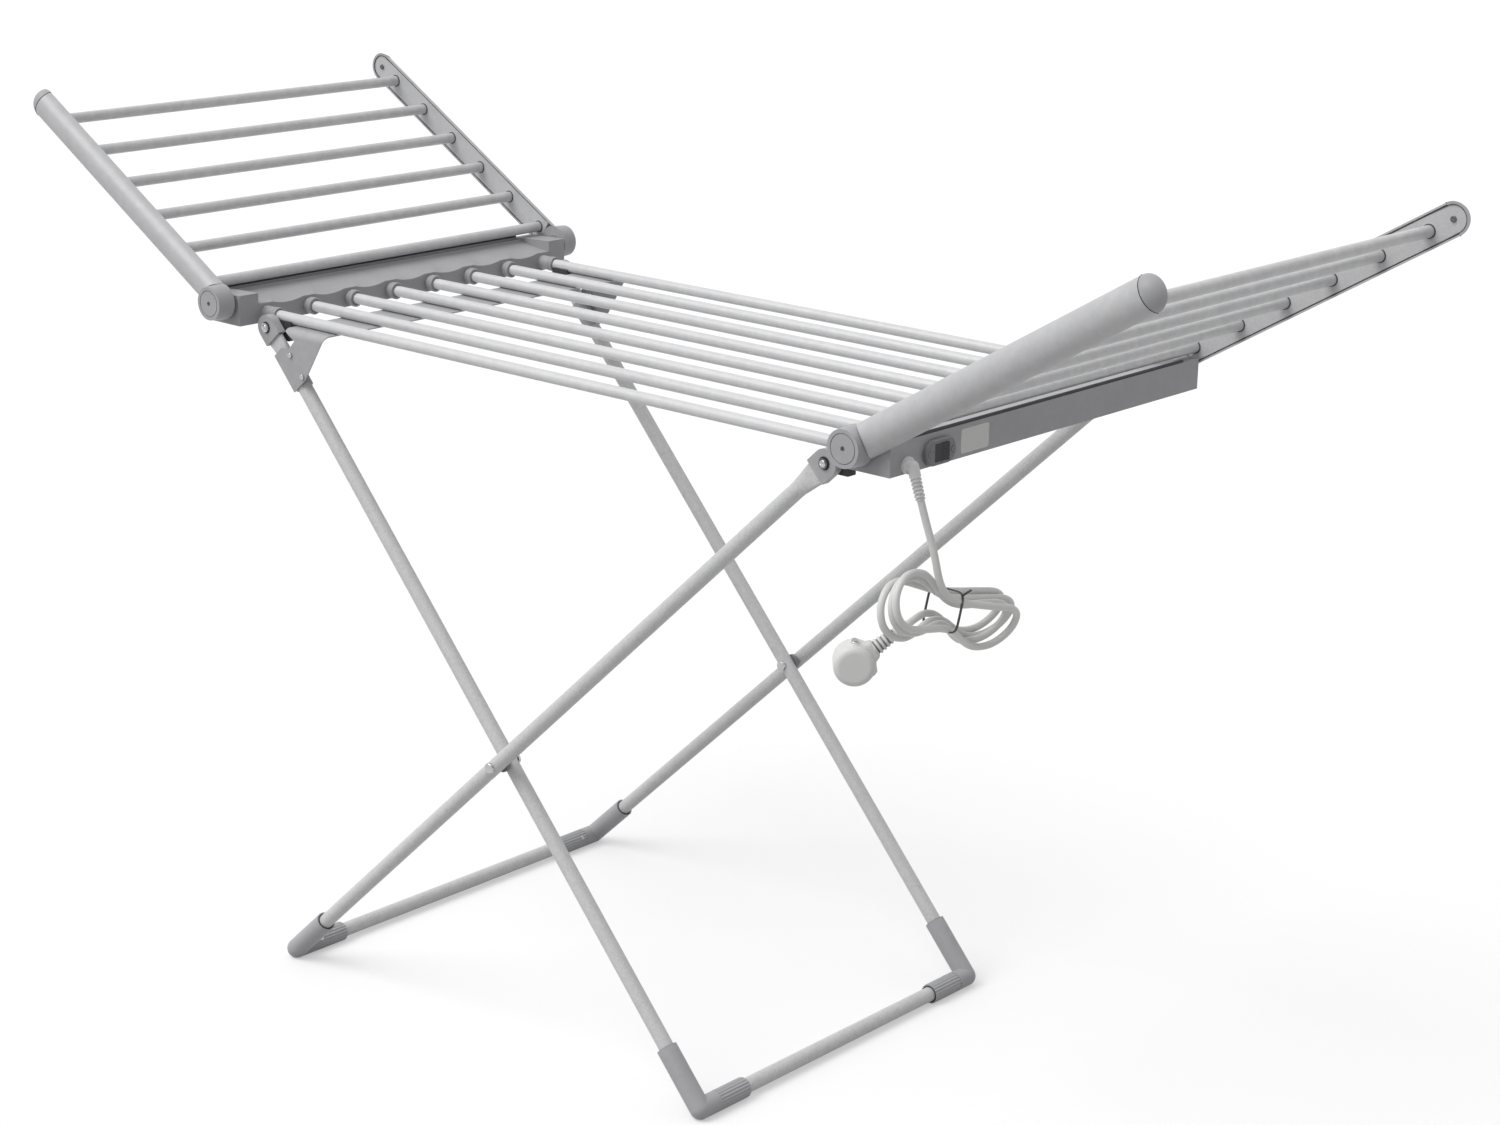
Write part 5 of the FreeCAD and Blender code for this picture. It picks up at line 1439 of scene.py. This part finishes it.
@dataclass(frozen=True)
class LegFrames:
    """The two crossed leg frames. Lengths in millimetres.

    Attributes:
        frames: Outer and inner frame.
        bolt: Top bolt head.
        rivet: Crossing rivet dome.
        small_rivet: Brace rivet dome.
        foot_screw: Screw in the side of a foot.
        screw_way: Direction of a foot screw along X and up.
        screw_out: Its seat from the middle of the foot.
        leg_sleeve: Length of a foot's sleeve round the leg tube.
        bar_sleeve: Length of its sleeve round the floor bar.
        shade_ring_sunk: Seat of the dark ring of painted recess shade below a bolt's end.
    """

    frames: tuple[LegFrame, ...] = (
        LegFrame("outer", Body.OUTER_LEG, "leg_hinge_bolts", -360.0, 240.0, 211.0,
                 (0.7316, 0.0, 0.6818), 1.0),
        LegFrame("inner", Body.INNER_LEG, "inner_leg_bolts", 236.0, 220.0, 191.0,
                 (-0.667, 0.0, 0.745), -1.0))
    bolt: ScrewHead = ScrewHead(3.6, 1.5, 0.9)
    rivet: ScrewHead = ScrewHead(5.5, 1.6)
    small_rivet: ScrewHead = ScrewHead(3.0, 1.0)
    foot_screw: ScrewHead = ScrewHead(2.6, 0.9, 0.5)
    screw_way: Pair = (0.86, 0.51)
    screw_out: float = 10.6
    leg_sleeve: float = 70.0
    bar_sleeve: float = 66.0
    shade_ring_sunk: float = 2.3

    def build(self) -> None:
        """Make the heads of bolts, rivets and screws, and the dark rings of painted shade at the feet and
        round the bolts.
        """
        for leg in self.frames:
            head_pieces(f"{leg.name}_leg_bolt_heads", leg.bolts, leg.body, self.bolt, Y_AXIS, (0,))
        head_pieces("crossing_rivet_heads", "crossing_rivets", Body.OUTER_LEG, self.rivet, Y_AXIS, (-1, 1))
        head_pieces("brace_rivet_heads", "brace_rivets", Body.INNER_LEG, self.small_rivet, Y_AXIS, (-1, 1))
        for leg in self.frames:
            draw_piece(f"{leg.name}_foot_screws", leg.body, STEEL, lambda bm, f=leg: self.foot_screws(bm, f))
            # Dark rings of painted shade in the gaps at the feet's sleeve mouths
            draw_piece(f"{leg.name}_foot_gap_shade", leg.body, SEAM_AND_SHADE, lambda bm, f=leg: self.foot_gap_shade(bm, f))
            # Dark rings of painted shade round the top bolts, standing in for recesses
            draw_piece(f"{leg.name}_bolt_recess_shade", leg.body, SEAM_AND_SHADE,
                       lambda bm, f=leg: self.bolt_recess_shade(bm, f))

    def foot_screws(self, bm: Draft, leg: LegFrame) -> None:
        """Draw the screw in each foot of a leg frame.

        Args:
            bm: Draft to add to.
            leg: The leg frame.
        """
        way = Vector((self.screw_way[0] * leg.facing, 0.0, self.screw_way[1]))
        for side in (-1.0, 1.0):
            seat = Vector((leg.foot_x, side * leg.screw_y, FOOT_Z)) + way * self.screw_out
            self.foot_screw.draw(bm, seat * MM, way)

    def foot_gap_shade(self, bm: Draft, leg: LegFrame) -> None:
        """Draw a dark ring of painted shade in the gap where each tube enters a foot.

        Args:
            bm: Draft to add to.
            leg: The leg frame.
        """
        profile = [(-0.5, 8.02), (0.35, 8.1), (0.45, 9.2), (0.1, 9.7), (-0.3, 9.7)]
        for side in (-1.0, 1.0):
            corner = Vector((leg.foot_x, side * leg.tube_y, FOOT_Z))
            inwards = Vector((0.0, -side, 0.0))
            for way, reach in ((Vector(leg.up), self.leg_sleeve), (inwards, self.bar_sleeve)):
                lathe_into(bm, profile, (corner + way * reach) * MM, way)

    def bolt_recess_shade(self, bm: Draft, leg: LegFrame) -> None:
        """Draw a dark ring round each top bolt, painted as the shade of a recess.

        Args:
            bm: Draft to add to.
            leg: The leg frame.
        """
        profile = [(0.0, 5.0), (0.25, 5.05), (0.35, 6.2), (0.0, 6.5)]
        for low, high in islands(leg.bolts):
            middle = (low + high) / 2
            sign = math.copysign(1.0, middle.y)
            end = high.y if sign > 0 else low.y
            seat = Vector((middle.x, end - sign * self.shade_ring_sunk * MM, middle.z))
            lathe_into(bm, profile, seat, Vector((0.0, sign, 0.0)))

    def dress(self) -> None:
        """Finish the legs' nodes."""
        dress(LEG, "outer_leg_near", "outer_leg_far", "outer_floor_bar", "inner_leg_near", "inner_leg_far",
              "inner_floor_bar")
        dress(FITTING, "outer_leg_caps", "inner_leg_caps", "outer_feet", "inner_feet", "leg_brace")
        dress(SHADED_STEEL, "leg_hinge_bolts")
        dress(STEEL, "inner_leg_bolts", "crossing_rivets", "brace_rivets", "latch_pins")
        dress(BLACK, "latch_clips")
        dress(COVER, "crossing_spacers")


def main() -> None:
    """Build the airer piece by piece."""
    logging.basicConfig(level=logging.INFO, format="%(message)s")
    PhotoCamera().build()
    assemblies = (MainsLead(), Housings(), SwitchUnit(), Wing("left", Body.LEFT_WING),
                  Wing("right", Body.RIGHT_WING), LegFrames())
    for assembly in assemblies:
        assembly.build()
        assembly.dress()
    Studio().build()


if __name__ == "__main__":
    main()
